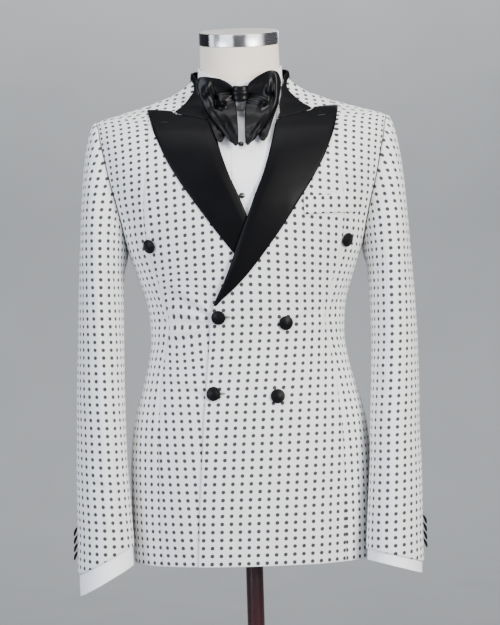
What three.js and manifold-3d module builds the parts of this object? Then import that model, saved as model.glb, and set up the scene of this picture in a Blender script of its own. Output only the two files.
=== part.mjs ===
// A dinner suit's upper half on a dress form: a double-breasted jacket of dotted
// cloth with satin peak lapels, a pleated dress shirt and a soft satin bow tie.
// Millimetres, +Z up, -Y is the front, the origin is the middle of the base's
// underside. "Left" and "right" are those of a wearer, so left is at +X.
// Each cut piece of cloth is a thin wall between two grids of points.
import * as THREE from "three";
import Module from "manifold-3d";
import { mergeVertices } from "three/addons/utils/BufferGeometryUtils.js";

// Driving sizes
const HEM = 764;
const BREAK = 1139; // height of the top fastened button's lapel break
const SHOULDER = 1422; // shoulder point, where the sleeve head meets the shoulder
const NECK = 1484; // top of the jacket's back neck seam
const SEAM = 0.3; // gap between two pieces at a seam
const CLOTH = 2.0; // jacket cloth with its interlining
const SATIN = 1.8; // faced lapel and collar
const LINEN = 1.2; // shirt cloth
const LAYER = 0.9; // air between one layer and the next that lies on it

// Jacket torso, horizontal sections: half width, depth to the front and to the
// back of the section's middle, that middle's y, and the superellipse's power
const TORSO = [
  { z: 764, wide: 179, front: 122, back: 124, middle: 0, square: 2.3 },
  { z: 830, wide: 181, front: 123, back: 128, middle: 0, square: 2.3 },
  { z: 900, wide: 180, front: 121, back: 128, middle: 0, square: 2.3 },
  { z: 964, wide: 174.5, front: 117, back: 121, middle: 0, square: 2.3 },
  { z: 1021, wide: 160, front: 112, back: 110, middle: 0, square: 2.25 },
  { z: 1060, wide: 150, front: 109, back: 102, middle: 0, square: 2.2 },
  { z: 1095, wide: 145, front: 108, back: 98, middle: 0, square: 2.2 },
  { z: 1130, wide: 146.5, front: 109.5, back: 99, middle: 0, square: 2.2 },
  { z: 1175, wide: 157.5, front: 114, back: 103, middle: 0, square: 2.25 },
  { z: 1225, wide: 175, front: 119, back: 108, middle: 0, square: 2.35 },
  { z: 1270, wide: 190.5, front: 121, back: 112, middle: 0, square: 2.45 },
  { z: 1323, wide: 208, front: 119, back: 114, middle: 1, square: 2.55 },
  { z: 1361, wide: 216, front: 110, back: 111, middle: 2, square: 2.6 },
  { z: 1393, wide: 220, front: 95, back: 104, middle: 4, square: 2.6 },
  { z: 1414, wide: 220, front: 76, back: 95, middle: 6, square: 2.4 },
  { z: 1422, wide: 217, front: 68, back: 91, middle: 7, square: 2.2 },
  { z: 1431, wide: 190, front: 60, back: 86, middle: 8, square: 2.1 },
  { z: 1438.5, wide: 165, front: 53, back: 82, middle: 9, square: 2.0 },
  { z: 1446, wide: 140, front: 47, back: 78, middle: 9, square: 2.0 },
  { z: 1454, wide: 118, front: 40, back: 74, middle: 10, square: 2.0 },
  { z: 1462, wide: 99, front: 33, back: 70, middle: 10, square: 2.0 },
  { z: 1476, wide: 79, front: 22, back: 67, middle: 10, square: 2.0 },
  { z: 1484, wide: 72, front: 16, back: 65, middle: 10, square: 2.0 },
  { z: 1500, wide: 69, front: 15, back: 62, middle: 9, square: 2.0 },
];

// Armhole: an upright oval on the torso
const ARMHOLE = { low: 1225, top: SHOULDER, front: 56, back: 62 };

// Seams and edges of the fronts, as x at each height, on the left (outer) front
const EDGES = [
  { z: 764, edge: -80, princess: 135, lean: 8 },
  { z: 841, edge: -76, princess: 136, lean: 8 },
  { z: 912, edge: -71, princess: 136, lean: 9 },
  { z: 992, edge: -65, princess: 133, lean: 10 },
  { z: 1058, edge: -58, princess: 126, lean: 11 },
  { z: 1095, edge: -54.5, princess: 118, lean: 12 },
  { z: 1120, edge: -52.5, princess: 115.5, lean: 12 },
  { z: 1139, edge: -47.6, princess: 119, lean: 12 },
  { z: 1184, edge: -27.8, princess: 131, lean: 11 },
  { z: 1240, edge: -6.2, princess: 145, lean: 10.5 },
  { z: 1269, edge: 5.2, princess: 147.5, lean: 10 },
  { z: 1301, edge: 17.2, princess: 147, lean: 9.5 },
  { z: 1333, edge: 30.3, princess: 143, lean: 9 },
  { z: 1378, edge: 43.7, princess: 139, lean: 8.5 },
  { z: 1427, edge: 54.5, princess: 138, lean: 6 },
  { z: 1470, edge: 63.5, princess: 138, lean: 0 },
  { z: 1484, edge: 66, princess: 138, lean: 0 },
];

// Outer edge of the lapel, from its break to the tip of its peak
const LAPEL = [
  { z: 1139, out: -46.2 },
  { z: 1152, out: -34 },
  { z: 1162, out: -22.5 },
  { z: 1176.6, out: -7.4 },
  { z: 1192.4, out: 6.8 },
  { z: 1219.4, out: 28.4 },
  { z: 1255, out: 54.8 },
  { z: 1293.7, out: 81.2 },
  { z: 1323, out: 100.5 },
  { z: 1352.6, out: 117.4 },
  { z: 1378, out: 128.6 },
  { z: 1404, out: 137.9 },
  { z: 1431, out: 144.5 },
];
const NOTCH = { x: 106.7, z: 1430 };
const GORGE = { x: 51.5, z: 1413 }; // where the gorge seam meets the roll line

// Sleeve, horizontal sections: middle, half width, half depth and turn in degrees
const SLEEVE = [
  { z: 700, x: 216, y: -69, wide: 42, deep: 53, turn: 14 },
  { z: 750, x: 217, y: -61, wide: 42.5, deep: 54, turn: 14 },
  { z: 800, x: 218, y: -53, wide: 41, deep: 55, turn: 14 },
  { z: 850, x: 219.5, y: -45, wide: 39.5, deep: 56.5, turn: 13 },
  { z: 925, x: 221.5, y: -33, wide: 37.5, deep: 60, turn: 11 },
  { z: 1000, x: 221.5, y: -22, wide: 36, deep: 63, turn: 8 },
  { z: 1075, x: 220, y: -12, wide: 35, deep: 66, turn: 5 },
  { z: 1150, x: 218, y: -5, wide: 34, deep: 69, turn: 2 },
  { z: 1190, x: 216, y: -2, wide: 33.5, deep: 71, turn: 0 },
];
// Each sleeve's hem height, how far it rises at its inner and back sides, how far
// its shirt cuff shows, and the share of the swing by which it hangs further forward
const ARMS = {
  left: { side: 1, hem: 770, inner: 9, back: -8, cuff: 19, swing: 1 },
  right: { side: -1, hem: 773, inner: 19, back: -8, cuff: 35, swing: 0 },
};
const SWING = [
  { z: 700, x: -13, y: -20 },
  { z: 850, x: -9.5, y: -17 },
  { z: 950, x: -7.5, y: -11 },
  { z: 1030, x: -3.5, y: -5 },
  { z: 1110, x: 0, y: 0 },
  { z: 1190, x: 0, y: 0 },
];
const SLEEVE_HEAD = 1190; // where the sleeve starts to open towards the armhole
const HEAD_SHARE = 0.66; // share of a sleeve's length that lies under it
const SLEEVE_STEPS = 20; // columns round a sleeve
const FRONT_SEAM = -4; // the under sleeve's columns, counted from its inner side
const BACK_SEAM = 5;

// Shirt collar, by the turn round the neck from the front to the middle of the back
const SHIRT_COLLAR = [
  { turn: -90, low: 1433.5, high: 1471 },
  { turn: -60, low: 1442, high: 1478 },
  { turn: -30, low: 1458, high: 1490 },
  { turn: 0, low: 1478, high: 1500 },
  { turn: 45, low: 1485, high: 1506 },
  { turn: 90, low: 1487, high: 1508 },
];
const NECKLINE = [
  { z: 1425, x: 0 },
  { z: 1431, x: 0 },
  { z: 1438.5, x: 33 },
  { z: 1446, x: 46 },
  { z: 1454, x: 55 },
  { z: 1462, x: 60 },
  { z: 1470, x: 63.5 },
  { z: 1477, x: 66 },
];

// Dress form's neck, drawn like the torso, and its slanted cap
const FORM_NECK = [
  { z: 1400, wide: 68, front: 38, back: 74, middle: 4 },
  { z: 1435, wide: 62.5, front: 48, back: 67, middle: 5 },
  { z: 1455, wide: 61.5, front: 54.5, back: 63, middle: 5 },
  { z: 1490, wide: 60, front: 57, back: 59, middle: 4 },
  { z: 1535, wide: 59, front: 58, back: 57, middle: 0 },
  { z: 1560, wide: 59, front: 58, back: 57, middle: 0 },
];
const CAP = { z: 1534, tall: 18, slant: 0.2 };
const FORM_FOOT = 792;
const POLE_RADIUS = 13;
const BASE = { radius: 180, tall: 12 };

// Bow tie, seen from the front: for each share from top to tip, the x and z of the
// inner and outer edges of a loop and of the tail behind it
const BOW_LOOP = [
  { share: 0, inX: 10, inZ: 1466, outX: 61, outZ: 1482 },
  { share: 0.2, inX: 9.5, inZ: 1460, outX: 64, outZ: 1468 },
  { share: 0.4, inX: 9.5, inZ: 1451, outX: 58, outZ: 1446 },
  { share: 0.6, inX: 6.8, inZ: 1436, outX: 47, outZ: 1425 },
  { share: 0.8, inX: 5.2, inZ: 1410, outX: 31, outZ: 1401 },
  { share: 1, inX: 5, inZ: 1380, outX: 12, outZ: 1379 },
];
const BOW_TAIL = [
  { share: 0, inX: 12, inZ: 1458, outX: 57, outZ: 1470 },
  { share: 0.3, inX: 13, inZ: 1445, outX: 57, outZ: 1446 },
  { share: 0.6, inX: 17, inZ: 1422, outX: 47, outZ: 1417 },
  { share: 1, inX: 27, inZ: 1385, outX: 35, outZ: 1385 },
];
// The line that the bow's back lies on, over the collar, shirt and lapels
const BOW_REST = [
  { z: 1376, y: -106 },
  { z: 1400, y: -92.5 },
  { z: 1425, y: -66 },
  { z: 1445, y: -57 },
  { z: 1458, y: -54.2 },
  { z: 1500, y: -53 },
];
const BOW_DEPTH = 13; // between a loop's back and front
const BOW_ARCH = 4.5; // rise of a loop's top edge over its ends
const BOW_LIFT = 3.5; // room for the tail behind the loop

// Buttons: where each one sits, as the front view's x and z
const BUTTONS = [
  { name: "button_fastened_upper", x: -40.6, z: 1125.3 },
  { name: "button_fastened_lower", x: -51.2, z: 1014.2 },
  { name: "button_outer_upper", x: 55, z: 1114.7 },
  { name: "button_outer_lower", x: 40.6, z: 1008.4 },
  { name: "button_top_left", x: 149.3, z: 1233.8 },
  { name: "button_top_right", x: -139, z: 1232 },
];
const BUTTON = [
  { r: 0, h: 0 },
  { r: 9.4, h: 0 },
  { r: 10.5, h: 1.2 },
  { r: 10, h: 2.9 },
  { r: 6.5, h: 4.6 },
  { r: 0, h: 5.4 },
];
const BUTTON_GAP = 0.75;
const CUFF_BUTTON_SCALE = 0.66;
const CUFF_BUTTONS = { count: 4, low: 25, pitch: 11.2, turn: 158, tilt: 21, lift: 2.4 };
const STUD_SCALE = 0.4;
const STUDS = [
  { x: -1.3, z: 1378 },
  { x: -2, z: 1300.7 },
];
const WELT = { from: 87, to: 166, low: 1271, high: 1297, rise: 3 };

// The rows of all the panels lie at these heights, and in the armhole at the
// heights of the sleeve's columns, so that neighbours meet corner to corner
const ARMHOLE_STEPS = SLEEVE_STEPS / 2;
const armholeHeight = (k) => {
  const middle = (ARMHOLE.top + ARMHOLE.low) / 2;
  const half = (ARMHOLE.top - ARMHOLE.low) / 2;
  return middle - half * Math.cos((Math.PI * k) / ARMHOLE_STEPS);
};
const SKIRT_ROWS = [HEM, 800, 850, 905, 955, 1000, 1040, 1074, 1108, 1123, BREAK, 1166, 1196];
const ARMHOLE_ROWS = Array.from({ length: ARMHOLE_STEPS + 1 }, (_, k) => armholeHeight(k));
const TOP_ROWS = [1431, 1438.5, 1446, 1454, 1463, 1473, NECK];
const BODY_ROWS = [...SKIRT_ROWS, ...ARMHOLE_ROWS, ...TOP_ROWS];

// Small helpers: angles, blends and a smooth line through a table

const radians = (degrees) => (degrees * Math.PI) / 180;
const blend = (a, b, s) => a + (b - a) * s;
const ease = (s) => {
  const c = Math.min(1, Math.max(0, s));
  return c * c * (3 - 2 * c);
};
const span = (count, from, to) =>
  Array.from({ length: count + 1 }, (_, i) => blend(from, to, i / count));

// A monotone cubic line through a table's rows, straight beyond its ends
function line(rows, across, along = "z") {
  const x = rows.map((r) => r[along]);
  const y = rows.map((r) => r[across]);
  const last = x.length - 1;
  const rise = x.slice(1).map((v, i) => (y[i + 1] - y[i]) / (v - x[i]));
  const slope = x.map((_, i) => {
    if (i === 0) return rise[0];
    if (i === last) return rise[last - 1];
    const [a, b] = [rise[i - 1], rise[i]];
    return a * b <= 0 ? 0 : (2 * a * b) / (a + b);
  });
  return (v) => {
    if (v <= x[0]) return y[0] + slope[0] * (v - x[0]);
    if (v >= x[last]) return y[last] + slope[last] * (v - x[last]);
    let i = 0;
    while (v > x[i + 1]) i += 1;
    const h = x[i + 1] - x[i];
    const s = (v - x[i]) / h;
    const s2 = s * s;
    const s3 = s2 * s;
    return (
      (2 * s3 - 3 * s2 + 1) * y[i] +
      (s3 - 2 * s2 + s) * h * slope[i] +
      (3 * s2 - 2 * s3) * y[i + 1] +
      (s3 - s2) * h * slope[i + 1]
    );
  };
}

const vec = (x, y, z) => new THREE.Vector3(x, y, z);
const mirror = (p) => vec(-p.x, p.y, p.z);

// A point of a surface f(a, b), moved off along its outward normal
function raised(f, a, b, off, stepA, stepB) {
  const p = f(a, b);
  if (!off) return p;
  const da = f(a + stepA, b).sub(f(a - stepA, b));
  const db = f(a, b + stepB).sub(f(a, b - stepB));
  return p.addScaledVector(da.cross(db).normalize(), off);
}

// Solids from grids of points

function solidFrom(points, faces) {
  const flat = points.flatMap((p) => [p.x, p.y, p.z]);
  let volume = 0;
  for (const [a, b, c] of faces) {
    volume += points[a].dot(points[b].clone().cross(points[c]));
  }
  const wound = volume < 0 ? faces.map(([a, b, c]) => [a, c, b]) : faces;
  const geometry = new THREE.BufferGeometry();
  geometry.setAttribute("position", new THREE.Float32BufferAttribute(flat, 3));
  geometry.setIndex(wound.flat());
  return geometry;
}

const quad = (a, b, c, d) => [
  [a, b, c],
  [a, c, d],
];

// A wall between two grids of the same size; round closes the rows into rings
function wall(outer, inner, round = false) {
  const rows = outer.length;
  const cols = outer[0].length;
  const points = [...outer.flat(), ...inner.flat()];
  const at = (side, i, j) => side * rows * cols + i * cols + (j % cols);
  const faces = [];
  const across = round ? cols : cols - 1;
  for (let i = 0; i < rows - 1; i += 1) {
    for (let j = 0; j < across; j += 1) {
      faces.push(...quad(at(0, i, j), at(0, i, j + 1), at(0, i + 1, j + 1), at(0, i + 1, j)));
      faces.push(...quad(at(1, i, j + 1), at(1, i, j), at(1, i + 1, j), at(1, i + 1, j + 1)));
    }
  }
  for (const i of [0, rows - 1]) {
    for (let j = 0; j < across; j += 1) {
      const rim = quad(at(0, i, j), at(1, i, j), at(1, i, j + 1), at(0, i, j + 1));
      faces.push(...(i ? rim.map(([a, b, c]) => [a, c, b]) : rim));
    }
  }
  if (!round) {
    for (const j of [0, cols - 1]) {
      for (let i = 0; i < rows - 1; i += 1) {
        const rim = quad(at(0, i, j), at(0, i + 1, j), at(1, i + 1, j), at(1, i, j));
        faces.push(...(j ? rim.map(([a, b, c]) => [a, c, b]) : rim));
      }
    }
  }
  return solidFrom(points, faces);
}

// A solid through closed rings, shut at both ends by a fan about the ring's middle
function loft(rings) {
  const cols = rings[0].length;
  const points = rings.flat();
  const faces = [];
  for (let i = 0; i < rings.length - 1; i += 1) {
    for (let j = 0; j < cols; j += 1) {
      const k = (j + 1) % cols;
      faces.push(...quad(i * cols + j, i * cols + k, (i + 1) * cols + k, (i + 1) * cols + j));
    }
  }
  [0, rings.length - 1].forEach((i) => {
    const middle = rings[i].reduce((sum, p) => sum.add(p), vec(0, 0, 0)).divideScalar(cols);
    points.push(middle);
    for (let j = 0; j < cols; j += 1) {
      const k = (j + 1) % cols;
      const fan = [points.length - 1, i * cols + k, i * cols + j];
      faces.push(i ? [fan[0], fan[2], fan[1]] : fan);
    }
  });
  return solidFrom(points, faces);
}

// Torso surface

const torsoWide = line(TORSO, "wide");
const torsoFront = line(TORSO, "front");
const torsoBack = line(TORSO, "back");
const torsoMiddle = line(TORSO, "middle");
const torsoSquare = line(TORSO, "square");

const power = (v, p) => Math.sign(v) * Math.abs(v) ** p;

// A point at turn t (0 at +X, -90 degrees in front) of the section at height z
function torso(t, z) {
  const p = 2 / torsoSquare(z);
  const depth = Math.sin(t) < 0 ? torsoFront(z) : torsoBack(z);
  return vec(
    torsoWide(z) * power(Math.cos(t), p),
    torsoMiddle(z) + depth * power(Math.sin(t), p),
    z,
  );
}
const onTorso = (t, z, off) => raised(torso, t, z, off, 1e-3, 0.4);

// The turn at which the front of the section at height z has this x
function frontTurn(x, z) {
  const share = Math.min(1, Math.abs(x) / torsoWide(z));
  const side = Math.acos(share ** (torsoSquare(z) / 2));
  return x < 0 ? side - Math.PI : -side;
}
const onFront = (x, z, off) => onTorso(frontTurn(x, z), z, off);

// The armhole's turn at height z, in front (a negative turn) or at the back
function armholeTurn(z, back) {
  const middle = (ARMHOLE.top + ARMHOLE.low) / 2;
  const half = (ARMHOLE.top - ARMHOLE.low) / 2;
  const level = (z - middle) / half;
  const reach = (back ? ARMHOLE.back : -ARMHOLE.front) * Math.sqrt(Math.max(0, 1 - level * level));
  const depth = back ? torsoBack(z) : torsoFront(z);
  return Math.sign(reach) * Math.asin((Math.abs(reach) / depth) ** (torsoSquare(z) / 2));
}
const inArmhole = (z) => z > ARMHOLE.low && z < ARMHOLE.top;

// Side seam under the armhole, then the armhole's edge, then the shoulder's ridge
const sideTurn = (z, back) => (inArmhole(z) ? armholeTurn(z, back) : 0);

// Panels: rows at the common heights, columns from one edge's turn to the other's

// A turn moved along the surface by some millimetres
function shifted(t, z, by) {
  const rate = torso(t + 1e-3, z).distanceTo(torso(t - 1e-3, z)) / 2e-3;
  return t + by / Math.max(rate, 40);
}

function panel({ rows, cols, from, to, lift = () => 0, thick = CLOTH, side = 1 }) {
  const grid = (depth) =>
    rows.map((z) => {
      const start = shifted(from(z), z, SEAM / 2);
      const stop = shifted(to(z), z, -SEAM / 2);
      return span(cols, start, stop).map((t) => {
        const p = onTorso(t, z, lift(torso(t, z).x, z) - depth);
        return side > 0 ? p : mirror(p);
      });
    });
  return wall(grid(0), grid(thick));
}

const edge = line(EDGES, "edge");
const princess = line(EDGES, "princess");
const lean = line(EDGES, "lean");
const lapelOut = line(LAPEL, "out");

// The right front is the left one mirrored, with its edge moved over by the lean
const underEdge = (z) => edge(z) - lean(z);

// How far the left front stands off to clear the right front and its lapel
function overlap(x, z) {
  const start = -underEdge(z) + 5;
  const past = 1 - ease((x - start) / (princess(z) - 4 - start));
  const low = 1 - ease((z - 1292) / 50);
  const crossing = ease((z - 1108) / 31) * (1 - ease((z - 1285) / 40));
  const nearLapel = 1 - ease((x - 62) / 34);
  return 3.0 * past * low + 2.9 * crossing * nearLapel;
}

const ridgeOr = (limit) => (z) => {
  const wide = torsoWide(z);
  return limit(z) < wide ? frontTurn(limit(z), z) : 0;
};
const princessRows = BODY_ROWS.filter((z) => z < 1446);

const parts = [];
const add = (name, geometry, material) => {
  const mesh = new THREE.Mesh(geometry, material);
  mesh.name = name;
  parts.push(mesh);
};

// Materials

const dotted = new THREE.MeshStandardMaterial({ color: 0xd6d8dc, roughness: 0.85 });
const satin = new THREE.MeshStandardMaterial({ color: 0x15151a, roughness: 0.4 });
const white = new THREE.MeshStandardMaterial({ color: 0xf2f3f8, roughness: 0.8 });
const canvas = new THREE.MeshStandardMaterial({ color: 0xd9d0c2, roughness: 0.9 });
const chrome = new THREE.MeshStandardMaterial({ color: 0xd0d2d6, roughness: 0.12, metalness: 1 });
const lacquer = new THREE.MeshStandardMaterial({ color: 0x0c0b0d, roughness: 0.2 });

// Jacket body

const FRONT_COLS = 7;
add(
  "front_left",
  panel({
    rows: BODY_ROWS,
    cols: FRONT_COLS,
    from: (z) => frontTurn(edge(z), z),
    to: ridgeOr(princess),
    lift: overlap,
  }),
  dotted,
);
add(
  "front_right",
  panel({
    rows: BODY_ROWS,
    cols: FRONT_COLS,
    from: (z) => frontTurn(underEdge(z), z),
    to: ridgeOr(princess),
    side: -1,
  }),
  dotted,
);
for (const [name, side] of [
  ["left", 1],
  ["right", -1],
]) {
  add(
    `side_front_${name}`,
    panel({
      rows: princessRows,
      cols: 3,
      from: ridgeOr(princess),
      to: (z) => sideTurn(z, false),
      side,
    }),
    dotted,
  );
  add(
    `back_${name}`,
    panel({
      rows: BODY_ROWS,
      cols: 7,
      from: (z) => sideTurn(z, true),
      to: () => Math.PI / 2,
      side,
    }),
    dotted,
  );
}

// Lapels, made from the front's own points and moved out; the peak stands above
// the gorge seam

const LAPEL_COLS = 6;
const LAPEL_FOOT = 1143; // just above the break
const PEAK_ROWS = 3; // extra rows between the last whole row and the top edge
const lapelRows = [LAPEL_FOOT, ...BODY_ROWS.filter((z) => z > BREAK && z < GORGE.z - 8)];
const lapelTop = [
  { x: GORGE.x + 1, z: GORGE.z },
  { x: 70, z: 1417 },
  { x: 88, z: 1421.5 },
  { x: NOTCH.x - 1, z: NOTCH.z - 3.5 },
  { x: NOTCH.x + 1, z: NOTCH.z },
  { x: 126, z: 1433 },
  { x: 144.5, z: 1435.5 },
];

function lapel(side) {
  const lift = side > 0 ? overlap : () => 0;
  const place = (x, z, off) => {
    const moved = side > 0 ? x : x - lean(z);
    const p = onFront(moved, z, lift(moved, z) + off);
    return side > 0 ? p : mirror(p);
  };
  const flat = lapelRows.map((z) =>
    span(LAPEL_COLS, edge(z) + 0.6, lapelOut(z)).map((x) => ({ x, z })),
  );
  const last = flat[flat.length - 1];
  for (let k = 1; k <= PEAK_ROWS; k += 1) {
    flat.push(
      last.map((p, j) => ({
        x: blend(p.x, lapelTop[j].x, k / PEAK_ROWS),
        z: blend(p.z, lapelTop[j].z, k / PEAK_ROWS),
      })),
    );
  }
  const grid = (off) => flat.map((row) => row.map((p) => place(p.x, p.z, off)));
  return wall(grid(LAYER + SATIN), grid(LAYER));
}
add("lapel_left", lapel(1), satin);
add("lapel_right", lapel(-1), satin);

// Jacket collar: its leaf goes from one gorge seam round the neck to the other,
// between an inner edge at the roll and an outer edge on the shoulders and back
const COLLAR = [
  { inX: 52.5, inZ: 1414, outX: 104.5, outZ: 1429.5 },
  { inX: 56.5, inZ: 1436, outX: 93, outZ: 1441 },
  { inX: 60.5, inZ: 1458, outX: 78.5, outZ: 1457 },
  { inX: 64.5, inZ: 1477, outX: 72, outZ: 1470 },
];
const COLLAR_BACK = [
  { turn: -18, inner: 1492, outer: 1478 },
  { turn: 0, inner: 1496, outer: 1479 },
  { turn: 30, inner: 1498, outer: 1463 },
  { turn: 60, inner: 1499, outer: 1449 },
  { turn: 90, inner: 1499, outer: 1444 },
];
const COLLAR_COLS = 4;
const COLLAR_LIFT = 1.3; // clears the bend of the shoulder seam
const BACK_COLS = 7;
function collarHalf(side, off) {
  const front = COLLAR.map((c) => {
    const over = side > 0 ? 0 : lean(c.inZ);
    return {
      from: { t: frontTurn(c.inX - over, c.inZ), z: c.inZ },
      to: { t: frontTurn(c.outX - over, c.outZ), z: c.outZ },
    };
  });
  const inner = line(COLLAR_BACK, "inner", "turn");
  const outer = line(COLLAR_BACK, "outer", "turn");
  const turns = [COLLAR_BACK[0].turn, -8, ...span(BACK_COLS, 0, 90)];
  const back = turns.map((turn) => ({
    from: { t: radians(turn), z: inner(turn) },
    to: { t: radians(turn), z: outer(turn) },
  }));
  return [...front, ...back].map(({ from, to }) =>
    span(COLLAR_COLS, 0, 1).map((s) => {
      const p = onTorso(blend(from.t, to.t, s), blend(from.z, to.z, s), off);
      return side > 0 ? p : mirror(p);
    }),
  );
}
const collarGrid = (off) => [...collarHalf(1, off), ...collarHalf(-1, off).slice(0, -1).reverse()];
add("collar", wall(collarGrid(COLLAR_LIFT + SATIN), collarGrid(COLLAR_LIFT)), satin);

// Breast welt, on the left front and over its princess seam
function weltGrid(off) {
  return [0, 0.5, 1].map((v) =>
    span(6, WELT.from, WELT.to).map((x) => {
      const z = blend(WELT.low, WELT.high, v) + WELT.rise * ((x - WELT.from) / 79);
      return onFront(x, z, overlap(x, z) + off);
    }),
  );
}
add("breast_welt", wall(weltGrid(LAYER + 1.6), weltGrid(LAYER)), dotted);

// Sleeves

const sleeveX = line(SLEEVE, "x");
const sleeveY = line(SLEEVE, "y");
const sleeveWide = line(SLEEVE, "wide");
const sleeveDeep = line(SLEEVE, "deep");
const sleeveTurn = line(SLEEVE, "turn");
const swingX = line(SWING, "x");
const swingY = line(SWING, "y");
const sleeveHem = (arm, phi) => arm.hem + arm.inner * Math.cos(phi) + arm.back * Math.sin(phi);
const sleeveLength = (arm) => (SLEEVE_HEAD - arm.hem) / HEAD_SHARE;

// A point of the sleeve's section: phi is 0 on the inner side and 90 degrees behind
function sleeveSection(arm, phi, z) {
  const across = -sleeveWide(z) * Math.cos(phi);
  const along = sleeveDeep(z) * Math.sin(phi);
  const turn = radians(sleeveTurn(z));
  return vec(
    sleeveX(z) + arm.swing * swingX(z) + across * Math.cos(turn) + along * Math.sin(turn),
    sleeveY(z) + arm.swing * swingY(z) - across * Math.sin(turn) + along * Math.cos(turn),
    z,
  );
}

// The armhole's edge, a seam's width inside the panels' edges
function armholePoint(phi) {
  const middle = (ARMHOLE.top + ARMHOLE.low) / 2;
  const half = (ARMHOLE.top - ARMHOLE.low) / 2;
  const z = middle - (half - SEAM) * Math.cos(phi);
  const back = Math.sin(phi) > 0;
  const reach = ((back ? ARMHOLE.back : ARMHOLE.front) - SEAM) * Math.abs(Math.sin(phi));
  const depth = back ? torsoBack(z) : torsoFront(z);
  const turn = Math.asin((reach / depth) ** (torsoSquare(z) / 2));
  return onTorso(back ? turn : -turn, z, SEAM);
}

// A point of the sleeve, s from the hem to the armhole: sections up to the head,
// then a cubic that leaves the armhole outwards at its top and downwards at its foot;
// its pull at the armhole is weakest at the top, so that the shoulder stays square
function sleeve(arm, phi, s) {
  if (s <= HEAD_SHARE) {
    return sleeveSection(arm, phi, blend(sleeveHem(arm, phi), SLEEVE_HEAD, s / HEAD_SHARE));
  }
  const k = (s - HEAD_SHARE) / (1 - HEAD_SHARE);
  const start = sleeveSection(arm, phi, SLEEVE_HEAD);
  const stop = armholePoint(phi);
  const reach = stop.distanceTo(start);
  const up = start.clone().sub(sleeveSection(arm, phi, SLEEVE_HEAD - 40)).setLength(reach);
  const c = Math.cos(phi);
  const pull = reach * (0.69 + 0.39 * c);
  const into = vec(-0.45 + 0.5 * c, -0.35 * Math.sin(phi), 0.65 + 0.35 * c).setLength(pull);
  const k2 = k * k;
  const k3 = k2 * k;
  return start
    .multiplyScalar(2 * k3 - 3 * k2 + 1)
    .addScaledVector(up, k3 - 2 * k2 + k)
    .addScaledVector(stop, 3 * k2 - 2 * k3)
    .addScaledVector(into, k3 - k2);
}
// phi runs clockwise seen from above, so the outward normal is the other one
const onSleeve = (arm, phi, s, off) => raised((a, b) => sleeve(arm, a, b), phi, s, -off, 1e-3, 1e-3);

const SLEEVE_ROWS = [
  ...[0, 0.12, 0.28, 0.45, 0.63, 0.82].map((v) => v * HEAD_SHARE),
  ...[0, 0.18, 0.35, 0.5, 0.64, 0.77, 0.89, 1].map((v) => blend(HEAD_SHARE, 1, v)),
];

function sleevePiece({ arm, from, to, cols, rows, off, thick, round = false }) {
  const nudge = round ? 0 : SEAM / 60;
  const grid = (depth) =>
    rows.map((s) => {
      const turns = span(cols, from + nudge, to - nudge);
      if (round) turns.pop();
      return turns.map((phi) => {
        const p = onSleeve(arm, phi, s, off - depth);
        return arm.side > 0 ? p : mirror(p);
      });
    });
  return wall(grid(0), grid(thick), round);
}

const STEP = (2 * Math.PI) / SLEEVE_STEPS;
for (const [name, arm] of Object.entries(ARMS)) {
  const shared = { arm, rows: SLEEVE_ROWS, off: 0, thick: CLOTH };
  const front = FRONT_SEAM * STEP;
  const back = BACK_SEAM * STEP;
  const under = BACK_SEAM - FRONT_SEAM;
  add(
    `sleeve_under_${name}`,
    sleevePiece({ ...shared, from: front, to: back, cols: under }),
    dotted,
  );
  add(
    `sleeve_upper_${name}`,
    sleevePiece({
      ...shared,
      from: back,
      to: front + 2 * Math.PI,
      cols: SLEEVE_STEPS - under,
    }),
    dotted,
  );

  // Shirt cuff and the shirt sleeve above it, inside the jacket's sleeve
  const length = sleeveLength(arm);
  const ring = { arm, from: 0, to: 2 * Math.PI, round: true };
  const cuffTop = 30 / length;
  add(
    `shirt_cuff_${name}`,
    sleevePiece({
      ...ring,
      cols: SLEEVE_STEPS,
      rows: [-arm.cuff / length, 0, cuffTop],
      off: -CLOTH - 0.6,
      thick: 1.4,
    }),
    white,
  );
  add(
    `shirt_sleeve_${name}`,
    sleevePiece({
      ...ring,
      cols: 12,
      rows: [cuffTop + 0.6 / length, 0.2, 0.38, 0.54, 0.66, 0.75, 0.84, 0.92],
      off: -CLOTH - 2.3,
      thick: LINEN,
    }),
    white,
  );
}

// Shirt body, under the jacket; it lies close at the shoulders and looser below

const SHIRT_ROWS = [800, 900, 985, 1052, 1108, 1166, ARMHOLE.low]
  .concat([2, 4, 6, 7, 8, 9, 10].map(armholeHeight))
  .concat(TOP_ROWS.slice(0, -1));
const looser = (z, waist, chest, top) =>
  blend(blend(waist, chest, ease((z - 1150) / 110)), top, ease((z - 1395) / 45));
const shirtDepth = (z) => looser(z, 8, 4.8, 3.4);
const neckline = line(NECKLINE, "x");
const neckTurn = (z) => (z <= 1431 ? frontTurn(0, z) : frontTurn(neckline(z), z));
const shirtPiece = (from, to, cols, side) =>
  panel({
    rows: SHIRT_ROWS,
    cols,
    from,
    to,
    lift: (x, z) => -shirtDepth(z),
    thick: LINEN,
    side,
  });
for (const [name, side] of [
  ["left", 1],
  ["right", -1],
]) {
  add(`shirt_front_${name}`, shirtPiece(neckTurn, (z) => sideTurn(z, false), 7, side), white);
  const centreBack = () => Math.PI / 2;
  add(`shirt_back_${name}`, shirtPiece((z) => sideTurn(z, true), centreBack, 5, side), white);
}

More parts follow.
